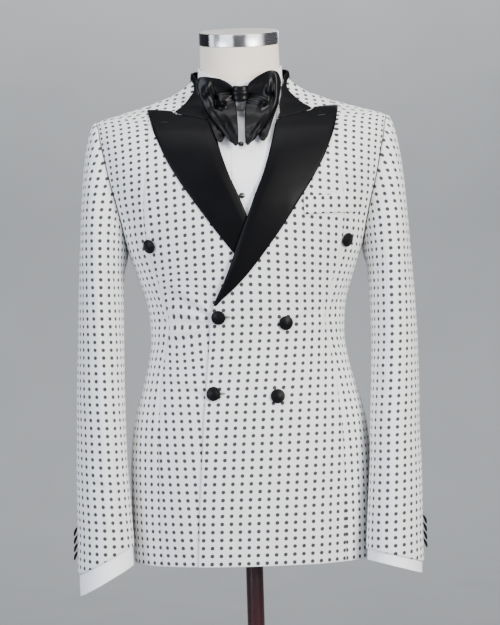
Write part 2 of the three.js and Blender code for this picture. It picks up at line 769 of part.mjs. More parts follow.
// The placket's folded strip, over the fronts' meeting
const PLACKET = { half: 16, from: 900, to: 1428 };
const placketRows = SHIRT_ROWS.filter((z) => z >= PLACKET.from && z < PLACKET.to);
const placketGrid = (off) =>
  placketRows.map((z) =>
    [-1, -0.5, 0, 0.5, 1].map((u) => onFront(u * PLACKET.half, z, off - shirtDepth(z))),
  );
add("shirt_placket", wall(placketGrid(1.4), placketGrid(0.5)), white);

// Shirt collar, round the form's neck

const neckWide = line(FORM_NECK, "wide");
const neckFront = line(FORM_NECK, "front");
const neckBack = line(FORM_NECK, "back");
const neckMiddle = line(FORM_NECK, "middle");
function neck(t, z) {
  const depth = Math.sin(t) < 0 ? neckFront(z) : neckBack(z);
  return vec(neckWide(z) * Math.cos(t), neckMiddle(z) + depth * Math.sin(t), z);
}
const collarLow = line(SHIRT_COLLAR, "low", "turn");
const collarHigh = line(SHIRT_COLLAR, "high", "turn");
function shirtCollarGrid(off) {
  return [0, 0.5, 1].map((v) =>
    span(26, -89.7, 269.7).map((turn) => {
      const a = turn > 90 ? 180 - turn : turn;
      const z = blend(collarLow(a), collarHigh(a), v);
      return raised(neck, radians(turn), z, off, 1e-3, 0.4);
    }),
  );
}
add("shirt_collar", wall(shirtCollarGrid(3.2), shirtCollarGrid(1.8)), white);

// Bow tie

const bowRest = line(BOW_REST, "y");
const bowEdges = (rows) => ({
  inX: line(rows, "inX", "share"),
  inZ: line(rows, "inZ", "share"),
  outX: line(rows, "outX", "share"),
  outZ: line(rows, "outZ", "share"),
});

// A loop is one strip: v goes out along its back, round its fold and in along its front
function bowLoop(side) {
  const e = bowEdges(BOW_LOOP);
  const path = [0, 0.35, 0.7, 1, 1.3, 1.65, 2];
  const rows = span(8, 0, 1);
  const grid = (off) =>
    rows.map((w) =>
      path.map((v) => {
        const out = v <= 1 ? v : 2 - v;
        const x = blend(e.inX(w), e.outX(w), out);
        const arch = BOW_ARCH * Math.sin(Math.PI * out) * Math.max(0, 1 - 3 * w);
        const z = blend(e.inZ(w), e.outZ(w), out) + arch;
        const round = Math.sqrt(1 - Math.max(0, 1 - (1 - out) * 2) ** 2);
        const deep = BOW_DEPTH * round * blend(1, 0.45, w) * blend(0.6, 1, Math.sqrt(out));
        const front = v < 1 ? 0 : v > 1 ? 1 : 0.5;
        const y = bowRest(z) - BOW_LIFT - deep * front - (1 - round) * 2;
        const inward = (2 * front - 1) * off;
        return vec(side * (x - (out === 1 ? off : 0)), y + inward, z);
      }),
    );
  return wall(grid(0), grid(1.4));
}
function bowTail(side) {
  const e = bowEdges(BOW_TAIL);
  const grid = (off) =>
    span(5, 0, 1).map((w) =>
      span(4, 0, 1).map((v) => {
        const x = blend(e.inX(w), e.outX(w), v);
        const z = blend(e.inZ(w), e.outZ(w), v);
        return vec(side * x, bowRest(z) - off, z);
      }),
    );
  return wall(grid(1.8), grid(0));
}
for (const [name, side] of [
  ["left", 1],
  ["right", -1],
]) {
  add(`bow_loop_${name}`, bowLoop(side), satin);
  add(`bow_tail_${name}`, bowTail(side), satin);
}
const KNOT = { x: 0, z: 1457, wide: 8.6, deep: 9, tall: 11 };
const knotRings = [-1, -0.8, -0.35, 0.35, 0.8, 1].map((v) =>
  Array.from({ length: 12 }, (_, k) => {
    const t = (2 * Math.PI * k) / 12;
    const r = Math.abs(v) === 1 ? 0.8 : 1;
    return vec(
      KNOT.x + r * KNOT.wide * power(Math.cos(t), 0.7),
      bowRest(KNOT.z) - KNOT.deep - 0.5 + r * KNOT.deep * power(Math.sin(t), 0.7),
      KNOT.z + v * KNOT.tall,
    );
  }),
);
add("bow_knot", loft(knotRings), satin);

// Buttons and studs, turned to the cloth's own direction

function lathe(profile, segments) {
  const geometry = new THREE.LatheGeometry(profile, segments);
  return mergeVertices(geometry.deleteAttribute("uv").deleteAttribute("normal"));
}
function disc(segments, scale) {
  const profile = BUTTON.map((p) => new THREE.Vector2(p.r * scale, p.h * scale));
  return lathe(profile, segments);
}
function place(geometry, at, normal) {
  const turn = new THREE.Quaternion().setFromUnitVectors(vec(0, 1, 0), normal);
  return geometry.applyQuaternion(turn).translate(at.x, at.y, at.z);
}
function normalOf(f, x, z, reach) {
  const across = f(x + reach, z).sub(f(x - reach, z));
  return across.cross(f(x, z + reach).sub(f(x, z - reach))).normalize();
}

for (const { name, x, z } of BUTTONS) {
  const lift = name === "button_top_right" ? () => 0 : overlap;
  const face = (px, pz) => onFront(px, pz, lift(px, pz));
  const normal = normalOf(face, x, z, 8);
  add(name, place(disc(14, 1), face(x, z).addScaledVector(normal, BUTTON_GAP), normal), satin);
}
for (const [k, { x, z }] of STUDS.entries()) {
  const face = (px, pz) => onFront(px, pz, 1.4 - shirtDepth(pz));
  const normal = normalOf(face, x, z, 4);
  const at = face(x, z).addScaledVector(normal, SEAM);
  add(`stud_${k + 1}`, place(disc(10, STUD_SCALE), at, normal), satin);
}
for (const [name, arm] of Object.entries(ARMS)) {
  for (let k = 0; k < CUFF_BUTTONS.count; k += 1) {
    const s = (CUFF_BUTTONS.low + k * CUFF_BUTTONS.pitch) / sleeveLength(arm);
    const phi = radians(CUFF_BUTTONS.turn);
    const at = onSleeve(arm, phi, s, CUFF_BUTTONS.lift);
    const normal = onSleeve(arm, phi, s, CUFF_BUTTONS.lift + 1).sub(at);
    normal.addScaledVector(vec(0, 0, 1), Math.tan(radians(CUFF_BUTTONS.tilt))).normalize();
    const ends = arm.side > 0 ? [at, normal] : [mirror(at), mirror(normal)];
    add(`cuff_button_${name}_${k + 1}`, place(disc(10, CUFF_BUTTON_SCALE), ...ends), satin);
  }
}

// Dress form: torso, neck, slanted cap, pole and base

const FORM_COLS = 20;
const formDepth = (z) => looser(z, 14, 9, 8.3);
const FORM_ROWS = SHIRT_ROWS.filter((z) => z > FORM_FOOT + 20 && z < 1475);
const formTurns = Array.from(
  { length: FORM_COLS },
  (_, k) => (2 * Math.PI * (k + 0.5)) / FORM_COLS,
);
const formRing = (z, shrink = 0) => formTurns.map((t) => onTorso(t, z, -formDepth(z) - shrink));
const footRing = (z, shrink) => formRing(z + 0.01, shrink).map((p) => vec(p.x, p.y, z));
const torsoSolid = loft([
  footRing(FORM_FOOT, 22),
  footRing(FORM_FOOT + 6, 9),
  footRing(FORM_FOOT + 22, 1),
  ...FORM_ROWS.map((z) => formRing(z)),
]);
const capRing = (z, grow) =>
  Array.from({ length: 36 }, (_, k) => {
    const t = (2 * Math.PI * k) / 36;
    const p = neck(t, z).add(vec(Math.cos(t), Math.sin(t), 0).multiplyScalar(grow));
    return vec(p.x, p.y, z + CAP.slant * p.y);
  });
const neckLevel = (z) =>
  Array.from({ length: 36 }, (_, k) => neck((2 * Math.PI * k) / 36, z));
const neckSolid = loft([
  neckLevel(1405),
  neckLevel(1435),
  neckLevel(1455),
  neckLevel(1490),
  capRing(CAP.z - 6, 0),
  capRing(CAP.z - 0.3, 0),
]);

const wasm = await Module();
wasm.setup();
function manifold(geometry) {
  const { position } = geometry.attributes;
  const mesh = new wasm.Mesh({
    numProp: 3,
    vertProperties: position.array,
    triVerts: new Uint32Array(geometry.index.array),
  });
  return new wasm.Manifold(mesh);
}
function joined(a, b) {
  const mesh = manifold(a).add(manifold(b)).getMesh();
  const geometry = new THREE.BufferGeometry();
  geometry.setAttribute("position", new THREE.BufferAttribute(mesh.vertProperties, 3));
  geometry.setIndex(Array.from(mesh.triVerts));
  return geometry;
}
add("form_body", joined(torsoSolid, neckSolid), canvas);
add("cap_band", loft([capRing(CAP.z, 0.8), capRing(CAP.z + CAP.tall, 0.8)]), chrome);
const discLow = CAP.z + CAP.tall + SEAM;
add("cap_top", loft([capRing(discLow, -1.4), capRing(discLow + 1.2, -1.4)]), canvas);

function turned(profile, segments) {
  const points = profile.map(([r, z]) => new THREE.Vector2(r, z));
  return lathe(points, segments).rotateX(Math.PI / 2);
}
add(
  "base",
  turned(
    [
      [0, 0],
      [BASE.radius - 2, 0],
      [BASE.radius, 2],
      [BASE.radius, BASE.tall - 2],
      [BASE.radius - 2, BASE.tall],
      [28, BASE.tall],
      [24, BASE.tall + 10],
      [0, BASE.tall + 10],
    ],
    36,
  ),
  lacquer,
);
add(
  "pole",
  turned(
    [
      [0, BASE.tall + 10.3],
      [POLE_RADIUS, BASE.tall + 10.3],
      [POLE_RADIUS, FORM_FOOT - 0.3],
      [0, FORM_FOOT - 0.3],
    ],
    24,
  ),
  lacquer,
);

const root = new THREE.Group();
root.add(...parts);
export default root;
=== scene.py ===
import math

import bpy
import numpy as np
from mathutils import Matrix, Vector


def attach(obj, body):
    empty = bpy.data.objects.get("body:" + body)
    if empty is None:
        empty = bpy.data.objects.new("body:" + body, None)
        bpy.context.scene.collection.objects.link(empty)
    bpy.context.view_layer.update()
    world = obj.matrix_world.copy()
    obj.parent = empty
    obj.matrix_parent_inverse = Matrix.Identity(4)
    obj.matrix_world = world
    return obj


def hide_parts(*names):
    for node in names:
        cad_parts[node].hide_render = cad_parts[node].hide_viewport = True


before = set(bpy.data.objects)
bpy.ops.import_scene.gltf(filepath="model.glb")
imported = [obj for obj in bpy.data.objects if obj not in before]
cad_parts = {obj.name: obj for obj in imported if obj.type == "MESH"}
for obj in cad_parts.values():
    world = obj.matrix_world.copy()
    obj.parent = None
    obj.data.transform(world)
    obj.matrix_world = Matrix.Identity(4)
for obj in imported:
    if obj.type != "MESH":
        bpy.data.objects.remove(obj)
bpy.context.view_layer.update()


# Round foot and pole
# A round steel plate with a boss, and a tube that carries the dress form. Both have
# a dark gloss lacquer, with a dull red showing through in places.


def mesh_piece(name, points, faces, cut=None, sharp=None):
    """A mesh object of points in metres and of faces of four corners, the last two the
    same in a triangle. The sign of the volume that they enclose turns them outwards.
    cut is each point's place on the flat cloth, and sharp the angle of a hard edge."""
    points = np.asarray(points, float).reshape(-1, 3)
    a, b, c, d = (points[faces[:, k]] for k in range(4))
    volume = np.sum(a * np.cross(b, c)) + np.sum(a * np.cross(c, d))
    three = faces[:, 2] == faces[:, 3]
    loops = faces[~three].tolist() + faces[three][:, :3].tolist()
    if volume < 0:
        loops = [loop[::-1] for loop in loops]
    mesh = bpy.data.meshes.new(name)
    mesh.from_pydata(points, [], loops)
    mesh.polygons.foreach_set("use_smooth", np.ones(len(loops), bool))
    if cut is not None:
        corner = np.zeros(len(mesh.loops), np.int32)
        mesh.loops.foreach_get("vertex_index", corner)
        flat = np.asarray(cut, np.float32).reshape(-1, 2)[corner]
        mesh.uv_layers.new(name="cut").data.foreach_set("uv", flat.ravel())
    if sharp:
        mesh.set_sharp_from_angle(angle=math.radians(sharp))
    piece = bpy.data.objects.new(name, mesh)
    bpy.context.scene.collection.objects.link(piece)
    return piece


def quads(rows, cols, start=0, wrap=False):
    """The faces of a grid of points, row by row; wrap joins its last column to its first."""
    i, j = np.meshgrid(np.arange(rows - 1), np.arange(cols if wrap else cols - 1), indexing="ij")
    k = (j + 1) % cols
    corners = (i * cols + j, i * cols + k, (i + 1) * cols + k, (i + 1) * cols + j)
    return start + np.stack([c.ravel() for c in corners], 1)


def closed_rings(name, rings, sharp=None):
    """A solid through closed rings of points, shut by a fan about each end ring's middle."""
    rows, steps = rings.shape[:2]
    points = np.concatenate([rings.reshape(-1, 3), [rings[0].mean(0), rings[-1].mean(0)]])
    j = np.arange(steps)
    k = (j + 1) % steps
    top = (rows - 1) * steps
    low = np.stack([np.full(steps, rows * steps), k, j, j], 1)
    high = np.stack([np.full(steps, rows * steps + 1), top + j, top + k, top + k], 1)
    faces = np.concatenate([quads(rows, steps, wrap=True), low, high])
    return mesh_piece(name, points, faces, sharp=sharp)


def turned(name, profile, steps=72, sharp=35):
    """A profile of (radius, height) points in mm, turned about the vertical axis."""
    radius, height = (np.array(profile, float) / 1000).T
    turn = np.linspace(0, 2 * np.pi, steps, endpoint=False)
    around = np.stack([np.cos(turn), np.sin(turn), 0 * turn], -1)
    rings = radius[:, None, None] * around + height[:, None, None] * np.array([0, 0, 1])
    return closed_rings(name, rings, sharp=sharp)


class Signal:
    """One output of a finish's nodes; arithmetic on it adds Math nodes."""

    def __init__(self, finish, socket):
        self.finish = finish
        self.socket = socket

    def do(self, operation, *others):
        sockets = dict(enumerate((self, *others)))
        return self.finish.node("ShaderNodeMath", {"operation": operation}, sockets)[0]

    def __add__(self, other):
        return self.do("ADD", other)

    def __mul__(self, other):
        return self.do("MULTIPLY", other)

    def __sub__(self, other):
        return self.do("SUBTRACT", other)

    def __rsub__(self, other):
        return self * -1.0 + other

    def __truediv__(self, other):
        return self.do("DIVIDE", other)

    def __pow__(self, other):
        return self.do("POWER", other)

    __radd__ = __add__
    __rmul__ = __mul__

    def ramp(self, low, high):
        """0 at low, 1 at high and smooth between them; low may be the greater."""
        sockets = {"Value": self, "From Min": low, "From Max": high}
        return self.finish.node("ShaderNodeMapRange", {"interpolation_type": "SMOOTHSTEP"}, sockets)[0]


class Finish:
    """A material made of nodes round one Principled shader."""

    def __init__(self, name, **sockets):
        self.material = bpy.data.materials.new(name)
        self.material.use_nodes = True
        self.tree = self.material.node_tree
        self.shader = self.tree.nodes["Principled BSDF"]
        self.set(**sockets)

    def set(self, **sockets):
        """Sets or links the shader's sockets, whose spaces are written as underscores."""
        for name, value in sockets.items():
            self.join(self.shader.inputs[name.replace("_", " ")], value)

    def join(self, socket, value):
        if isinstance(value, Signal):
            self.tree.links.new(value.socket, socket)
        elif isinstance(value, (tuple, list)) and len(value) == 3 and socket.type == "RGBA":
            socket.default_value = (*value, 1)
        else:
            socket.default_value = value

    def node(self, kind, settings=None, sockets=None):
        """A node of that kind: its settings first, then its sockets' values or links.
        Returns its outputs."""
        made = self.tree.nodes.new(kind)
        for name, value in (settings or {}).items():
            setattr(made, name, value)
        for name, value in (sockets or {}).items():
            self.join(made.inputs[name], value)
        return [Signal(self, output) for output in made.outputs if output.enabled]

    def mix(self, share, first, second):
        """The colour that is first at share 0 and second at share 1."""
        return self.node("ShaderNodeMix", {"data_type": "RGBA"}, {0: share, 6: first, 7: second})[0]

    def place(self, scale=(1, 1, 1)):
        """Object coordinates in metres, each axis times a number."""
        at = self.node("ShaderNodeTexCoord")[3]
        return self.node("ShaderNodeVectorMath", {"operation": "MULTIPLY"}, {0: at, 1: scale})[0]

    def noise(self, scale, detail=2.0, stretch=(1, 1, 1), at=None):
        """Grey noise with about scale features a metre."""
        sockets = {"Vector": at or self.place(stretch), "Scale": scale, "Detail": detail}
        return self.node("ShaderNodeTexNoise", {}, sockets)[0]

    def bump(self, height, strength, distance):
        sockets = {"Height": height, "Strength": strength, "Distance": distance}
        self.set(Normal=self.node("ShaderNodeBump", {}, sockets)[0])


def fit(piece, finish, slot, *nodes):
    """Gives a piece its finish, rides it on the one body and lets it stand for its nodes."""
    piece.data.materials.append(finish.material)
    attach(piece, "root")
    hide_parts(*nodes)
    return piece


BASE_RADIUS, BASE_TALL, BOSS_TALL = 180, 12, 10
POLE_RADIUS, FORM_FOOT = 13, 792

lacquer = Finish("dark_lacquer", Coat_Weight=0.6, Coat_Roughness=0.08)
lacquer.set(
    Base_Color=lacquer.mix(lacquer.noise(6, 3), (0.012, 0.010, 0.011), (0.045, 0.006, 0.009)),
    Roughness=lacquer.noise(40, 4) * 0.1 + 0.16,
)
lacquer.bump(lacquer.noise(220, 2), 0.06, 0.0004)
foot_profile = [
    (0, 0),
    (BASE_RADIUS - 2.5, 0),
    (BASE_RADIUS - 0.7, 0.7),
    (BASE_RADIUS, 2.5),
    (BASE_RADIUS, BASE_TALL - 2.5),
    (BASE_RADIUS - 0.7, BASE_TALL - 0.7),
    (BASE_RADIUS - 2.5, BASE_TALL),
    (31, BASE_TALL + 0.1),
    (28, BASE_TALL + 0.8),
    (25.5, BASE_TALL + 3),
    (24.5, BASE_TALL + BOSS_TALL - 1),
    (23, BASE_TALL + BOSS_TALL),
    (0, BASE_TALL + BOSS_TALL),
]
fit(turned("foot_plate", foot_profile, steps=120), lacquer, "stand_lacquer", "base")
pole_low, pole_high = BASE_TALL + BOSS_TALL + 0.3, FORM_FOOT - 0.3
pole_profile = [
    (0, pole_low),
    (POLE_RADIUS - 0.8, pole_low),
    (POLE_RADIUS, pole_low + 0.8),
    (POLE_RADIUS, pole_high - 0.8),
    (POLE_RADIUS - 0.8, pole_high),
    (0, pole_high),
]
fit(turned("pole_tube", pole_profile, steps=64), lacquer, "stand_lacquer", "pole")


# Dress form
# A limbless torso and neck of moulded shell under a close cream knitted cover, with
# a polished chrome band whose light and dark zones are painted reflections, and a covered disc on the
# slanted end of its neck.

TORSO = {  # mm: half width, depth to the front and back of the middle, and roundness
    "z": [764, 830, 900, 964, 1021, 1060, 1095, 1130, 1175, 1225, 1270, 1323, 1361, 1393, 1414]
    + [1422, 1431, 1438.5, 1446, 1454, 1462, 1476, 1484, 1500],
    "wide": [179, 181, 180, 174.5, 160, 150, 145, 146.5, 157.5, 175, 190.5, 208, 216, 220, 220]
    + [217, 190, 165, 140, 118, 99, 79, 72, 69],
    "front": [122, 123, 121, 117, 112, 109, 108, 109.5, 114, 119, 121, 119, 110, 95, 76]
    + [68, 60, 53, 47, 40, 33, 22, 16, 15],
    "back": [124, 128, 128, 121, 110, 102, 98, 99, 103, 108, 112, 114, 111, 104, 95]
    + [91, 86, 82, 78, 74, 70, 67, 65, 62],
    "middle": [0, 0, 0, 0, 0, 0, 0, 0, 0, 0, 0, 1, 2, 4, 6, 7, 8, 9, 9, 10, 10, 10, 10, 9],
    "square": [2.3, 2.3, 2.3, 2.3, 2.25, 2.2, 2.2, 2.2, 2.25, 2.35, 2.45, 2.55, 2.6, 2.6, 2.4]
    + [2.2, 2.1, 2, 2, 2, 2, 2, 2, 2],
}
NECK = {
    "z": [1400, 1435, 1455, 1490, 1535, 1560],
    "wide": [68, 62.5, 61.5, 60, 59, 59],
    "front": [38, 48, 54.5, 57, 58, 58],
    "back": [74, 67, 63, 59, 57, 57],
    "middle": [4, 5, 5, 4, 0, 0],
}
CAP_LOW, CAP_TALL, CAP_SLANT = 1534, 18, 0.2


def line(table, across, along="z"):
    """A smooth line through a table's rows that never overshoots them: a cubic between
    two rows, with the harmonic mean of the neighbouring slopes, straight beyond the ends."""
    x, y = np.array(table[along], float), np.array(table[across], float)
    rise = np.diff(y) / np.diff(x)
    before, after = rise[:-1], rise[1:]
    same = before * after > 0
    mean = np.where(same, 2 * before * after / np.where(same, before + after, 1), 0)
    slope = np.concatenate([rise[:1], mean, rise[-1:]])

    def value(v):
        v = np.asarray(v, float)
        k = np.clip(np.searchsorted(x, v) - 1, 0, len(x) - 2)
        gap = x[k + 1] - x[k]
        s = np.clip((v - x[k]) / gap, 0, 1)
        inside = (
            (2 * s**3 - 3 * s**2 + 1) * y[k]
            + (s**3 - 2 * s**2 + s) * gap * slope[k]
            + (3 * s**2 - 2 * s**3) * y[k + 1]
            + (s**3 - s**2) * gap * slope[k + 1]
        )
        below, above = np.minimum(v - x[0], 0), np.maximum(v - x[-1], 0)
        return inside + below * slope[0] + above * slope[-1]

    return value


def ease(s):
    """0 up to 0, 1 from 1 and a smooth rise between."""
    s = np.clip(s, 0, 1)
    return s * s * (3 - 2 * s)


torso_wide, torso_front, torso_back, torso_middle, torso_square = (
    line(TORSO, column) for column in ("wide", "front", "back", "middle", "square")
)
neck_wide, neck_front, neck_back, neck_middle = (
    line(NECK, column) for column in ("wide", "front", "back", "middle")
)


def torso(t, z):
    """The jacket's outer surface in mm: at height z a rounded section, whose point at
    turn t has the cosine and sine of t raised to 2 over the section's roundness."""
    t, z = np.broadcast_arrays(np.asarray(t, float), np.asarray(z, float))
    power = 2 / torso_square(z)
    c, s = np.cos(t), np.sin(t)
    deep = np.where(s < 0, torso_front(z), torso_back(z))
    x = torso_wide(z) * np.sign(c) * np.abs(c) ** power
    y = torso_middle(z) + deep * np.sign(s) * np.abs(s) ** power
    return np.stack([x, y, z], -1)


def neck(t, z):
    """The neck's outer surface in mm: an oval at height z, its point at turn t."""
    t, z = np.broadcast_arrays(np.asarray(t, float), np.asarray(z, float))
    deep = np.where(np.sin(t) < 0, neck_front(z), neck_back(z))
    return np.stack([neck_wide(z) * np.cos(t), neck_middle(z) + deep * np.sin(t), z], -1)


def raised(surface, a, b, off, steps, turn=1):
    """Points of a surface moved out by off along its normal, which is the cross product
    of its two directions, or the opposite of that where turn is -1."""
    a, b = np.broadcast_arrays(np.asarray(a, float), np.asarray(b, float))
    across = surface(a + steps[0], b) - surface(a - steps[0], b)
    up = surface(a, b + steps[1]) - surface(a, b - steps[1])
    normal = turn * np.cross(across, up)
    normal = normal / np.linalg.norm(normal, axis=-1, keepdims=True)
    return surface(a, b) + normal * np.broadcast_to(off, a.shape)[..., None]


def on_torso(t, z, off=0.0):
    return raised(torso, t, z, off, (1e-3, 0.4))


def looser(z, waist, chest, top):
    """A depth in mm that is waist low down, chest at the chest and top at the shoulders."""
    depth = waist + (chest - waist) * ease((z - 1150) / 110)
    return depth + (top - depth) * ease((z - 1395) / 45)


cover = Finish("form_cover", Sheen_Weight=0.25, Sheen_Roughness=0.5)
knit = cover.noise(1500, 2, (1, 1, 0.6))
cover.set(
    Base_Color=cover.mix(cover.noise(9, 3) * 0.5 + knit * 0.5, (0.82, 0.72, 0.60), (0.91, 0.825, 0.72)),
    Roughness=0.88,
)
cover.bump(knit, 0.18, 0.0004)
around = np.linspace(0, 2 * np.pi, 128, endpoint=False)
form_rows = np.concatenate([np.linspace(FORM_FOOT + 22, 1225, 60), np.linspace(1230, 1468, 60)])
depth = looser(form_rows, 14, 9, 8.3)[:, None]
body_rings = on_torso(around[None, :], form_rows[:, None], -depth)
foot_rings = []
for rise, shrink in ((0, 22), (2, 14), (6, 9), (12, 4), (22, 1)):
    ring = on_torso(around, np.full(128, FORM_FOOT + rise + 0.01), -14.0 - shrink)
    ring[:, 2] = FORM_FOOT + rise
    foot_rings.append(ring)
form_torso = closed_rings("form_torso", np.concatenate([foot_rings, body_rings[1:]]) / 1000)
fit(form_torso, cover, "form_canvas", "form_body")


def cap_ring(z, grow):
    """The neck's oval at height z, grown by some mm and slanted: higher at the back."""
    ring = neck(around, z) + grow * np.stack([np.cos(around), np.sin(around), 0 * around], -1)
    ring[:, 2] = z + CAP_SLANT * ring[:, 1]
    return ring


neck_rings = [neck(around, z) for z in np.linspace(1405, 1505, 24)]
neck_rings += [
    neck_rings[-1] + (cap_ring(CAP_LOW - 0.3, 0) - neck_rings[-1]) * share
    for share in np.linspace(0, 1, 16)[1:]
]
fit(closed_rings("form_neck", np.array(neck_rings) / 1000, sharp=50), cover, "form_canvas", "form_body")

# The chrome band's base colour and metallic carry painted reflections: upright light and dark zones keyed to
# x stand in for the studio mirrored in it, with the white zones made partly diffuse.
chrome = Finish("cap_chrome")
brushed = chrome.noise(60, 3, (1, 1, 14))
zone = chrome.node("ShaderNodeSeparateXYZ", {}, {"Vector": chrome.place()})[0]
zone = zone + (brushed * 0.006 - 0.003)
PAINTED_REFLECTIONS = (  # painted reflections as the band's light and dark zones: from x to x in metres, and the change
    (-0.0455, -0.0425, 1.0),
    (-0.0390, -0.0355, -0.6),
    (-0.0300, -0.0265, 0.6),
    (-0.0120, -0.0060, -0.85),
    (0.0070, 0.0160, 0.85),
)
painted_reflection = sum(zone.ramp(start, stop) * change for start, stop, change in PAINTED_REFLECTIONS)
painted_reflection = painted_reflection - zone.ramp(0.0290, 0.0400) * (brushed * 0.3 + 0.72)
chrome.set(
    Base_Color=chrome.mix(painted_reflection, (0.045, 0.042, 0.055), (0.97, 0.97, 0.98)),
    Metallic=painted_reflection * -0.7 + 1.0,
    Roughness=brushed * 0.12 + 0.22,
)
band_rings = [
    cap_ring(CAP_LOW + rise, grow)
    for rise, grow in ((0, 0.1), (0.5, 0.8), (CAP_TALL - 0.8, 0.8), (CAP_TALL, 0.1), (CAP_TALL, -1.2))
]
fit(closed_rings("neck_band", np.array(band_rings) / 1000, sharp=40), chrome, "cap_chrome", "cap_band")
disc_cover = Finish("disc_cover", Roughness=0.85)
disc_cover.set(
    Base_Color=disc_cover.mix(disc_cover.noise(30, 3), (0.42, 0.405, 0.385), (0.50, 0.485, 0.465))
)
disc_cover.bump(disc_cover.noise(1500, 2), 0.15, 0.0004)
disc_rings = [
    cap_ring(CAP_LOW + CAP_TALL + rise, grow)
    for rise, grow in ((0.12, -0.3), (0.6, 0.3), (1.3, 0.1), (1.7, -1.0), (1.8, -6))
]
fit(closed_rings("neck_disc", np.array(disc_rings) / 1000, sharp=60), disc_cover, "form_canvas", "cap_top")


# Dress shirt
# Fine white cotton: two fronts with narrow tucks beside a placket, two halves of the
# back and a standing collar, with sleeves and stiffened cuffs. It is worn under the
# jacket and seen in the opening between the lapels and below the sleeves.

HEM, SHOULDER, SEAM = 764, 1422, 0.3
ARMHOLE_LOW, ARMHOLE_FRONT, ARMHOLE_BACK = 1225, 56, 62
HOLE_MIDDLE, HOLE_HALF = (SHOULDER + ARMHOLE_LOW) / 2, (SHOULDER - ARMHOLE_LOW) / 2


def shell(name, outer, inner, cut, wrap=False, lip=0.5):
    """A closed thin wall between two grids of points in mm, with a rounded rim that
    stands lip beyond the grids' edges; wrap joins the last column to the first."""
    rows, cols = outer.shape[:2]
    count = rows * cols
    index = np.arange(count).reshape(rows, cols)
    i, j = np.indices((rows, cols))
    within = index[np.clip(i, 1, rows - 2), j if wrap else np.clip(j, 1, cols - 2)].ravel()
    if wrap:
        loops = [np.append(index[0], index[0, 0]), np.append(index[-1, ::-1], index[-1, -1])]
    else:
        loops = [np.concatenate([index[0], index[1:, -1], index[-1, -2::-1], index[-2::-1, 0]])]
    a, b = outer.reshape(-1, 3), inner.reshape(-1, 3)
    flat = cut.reshape(-1, 2)
    faces = quads(rows, cols, wrap=wrap)
    points, cuts, sides = [a, b], [flat, flat], [faces, faces[:, ::-1] + count]
    start = 2 * count
    for loop in loops:
        ring = loop[:-1]
        away = a[ring] - a[within[ring]]
        away = away / np.maximum(np.linalg.norm(away, axis=1, keepdims=True), 1e-6)
        points.append((a[ring] + b[ring]) / 2 + away * lip)
        cuts.append(flat[ring])
        k = np.arange(len(ring))
        n = (k + 1) % len(ring)
        sides.append(np.stack([ring[n], ring, start + k, start + n], 1))
        sides.append(np.stack([start + n, start + k, count + ring, count + ring[n]], 1))
        start += len(ring)
    return mesh_piece(name, np.concatenate(points) / 1000, np.concatenate(sides), np.concatenate(cuts))


def front_turn(x, z):
    """The turn at which the front of the torso's section at height z has this x."""
    side = np.arccos(np.minimum(1, np.abs(x) / torso_wide(z)) ** (torso_square(z) / 2))
    return np.where(np.asarray(x) < 0, side - np.pi, -side)


def on_front(x, z, off=0.0):
    return on_torso(front_turn(x, z), z, off)


def side_turn(z, back):
    """The side seam's turn below the armhole, its edge beside it and the ridge above."""
    level = np.clip((np.asarray(z, float) - HOLE_MIDDLE) / HOLE_HALF, -1, 1)
    reach, depth = (ARMHOLE_BACK, torso_back(z)) if back else (ARMHOLE_FRONT, torso_front(z))
    turn = np.arcsin((reach * np.sqrt(1 - level**2) / depth) ** (torso_square(z) / 2))
    return turn if back else -turn


def heights(low, high, top, edge=True):
    """Row heights: even below the armhole, closer at its ends within it, even above."""
    near = [low, low + 0.8, low + 2, low + 4] if edge else [low]
    skirt = np.linspace(near[-1], ARMHOLE_LOW, int((ARMHOLE_LOW - low) / 4.6))[1:-1]
    hole = HOLE_MIDDLE - HOLE_HALF * np.cos(np.linspace(0, np.pi, 61))
    above = np.arange(SHOULDER + 2.5, top - 3, 3)
    return np.concatenate([near, skirt, hole[hole <= high], above[above < high], [high]])


def spread(rows, start, stop, origin, cols):
    """Turns on the torso at each row, from start to stop, evenly spaced along the cloth
    but closer at its two edges, with each one's distance in mm along the cloth from the
    origin's turn, from the start and from the stop."""
    turns, along = np.empty((len(rows), cols + 8)), np.empty((len(rows), cols + 8))
    gaps = np.empty(len(rows))
    for k, z in enumerate(rows):
        fine = np.linspace(min(start[k], origin[k]), max(stop[k], origin[k]) + 1e-9, 500)
        steps = np.linalg.norm(np.diff(torso(fine, z), axis=0), axis=1)
        length = np.concatenate([[0], np.cumsum(steps)])
        a, b, o = np.interp([start[k], stop[k], origin[k]], fine, length)
        a, b = a + SEAM / 2, max(b - SEAM / 2, a + SEAM / 2 + 0.2)
        near = np.minimum(np.array([0, 0.7, 1.8, 3.6]), (b - a) * np.array([0, 0.03, 0.07, 0.12]))
        between = np.linspace(a + near[-1], b - near[-1], cols + 2)[1:-1]
        at = np.concatenate([a + near, between, b - near[::-1]])
        turns[k] = np.interp(at, length, fine)
        along[k] = at - o
        gaps[k] = b - a
    from_start = along - along[:, :1]
    return turns, along, from_start, gaps[:, None] - from_start


def cloth_height(z):
    """The distance in mm up the cloth from the waist to height z."""
    fine = np.linspace(700, 1500, 1601)
    points = torso(np.full(fine.shape, -1.2), fine)
    length = np.concatenate([[0], np.cumsum(np.linalg.norm(np.diff(points, axis=0), axis=1))])
    return np.interp(z, fine, length - np.interp(1095, fine, length))


def spans(outer, cut):
    """A grid's flat width, length and area in metres: how far its cut reaches each way,
    and the sum of its faces' areas."""
    p = outer / 1000
    one = np.cross(p[:-1, 1:] - p[:-1, :-1], p[1:, :-1] - p[:-1, :-1])
    two = np.cross(p[:-1, 1:] - p[1:, 1:], p[1:, :-1] - p[1:, 1:])
    area = (np.linalg.norm(one, axis=-1).sum() + np.linalg.norm(two, axis=-1).sum()) / 2
    width, length = np.ptp(cut.reshape(-1, 2), axis=0)
    area = float(np.clip(area, 0.301 * width * length, width * length))
    return (float(width), float(length)), area


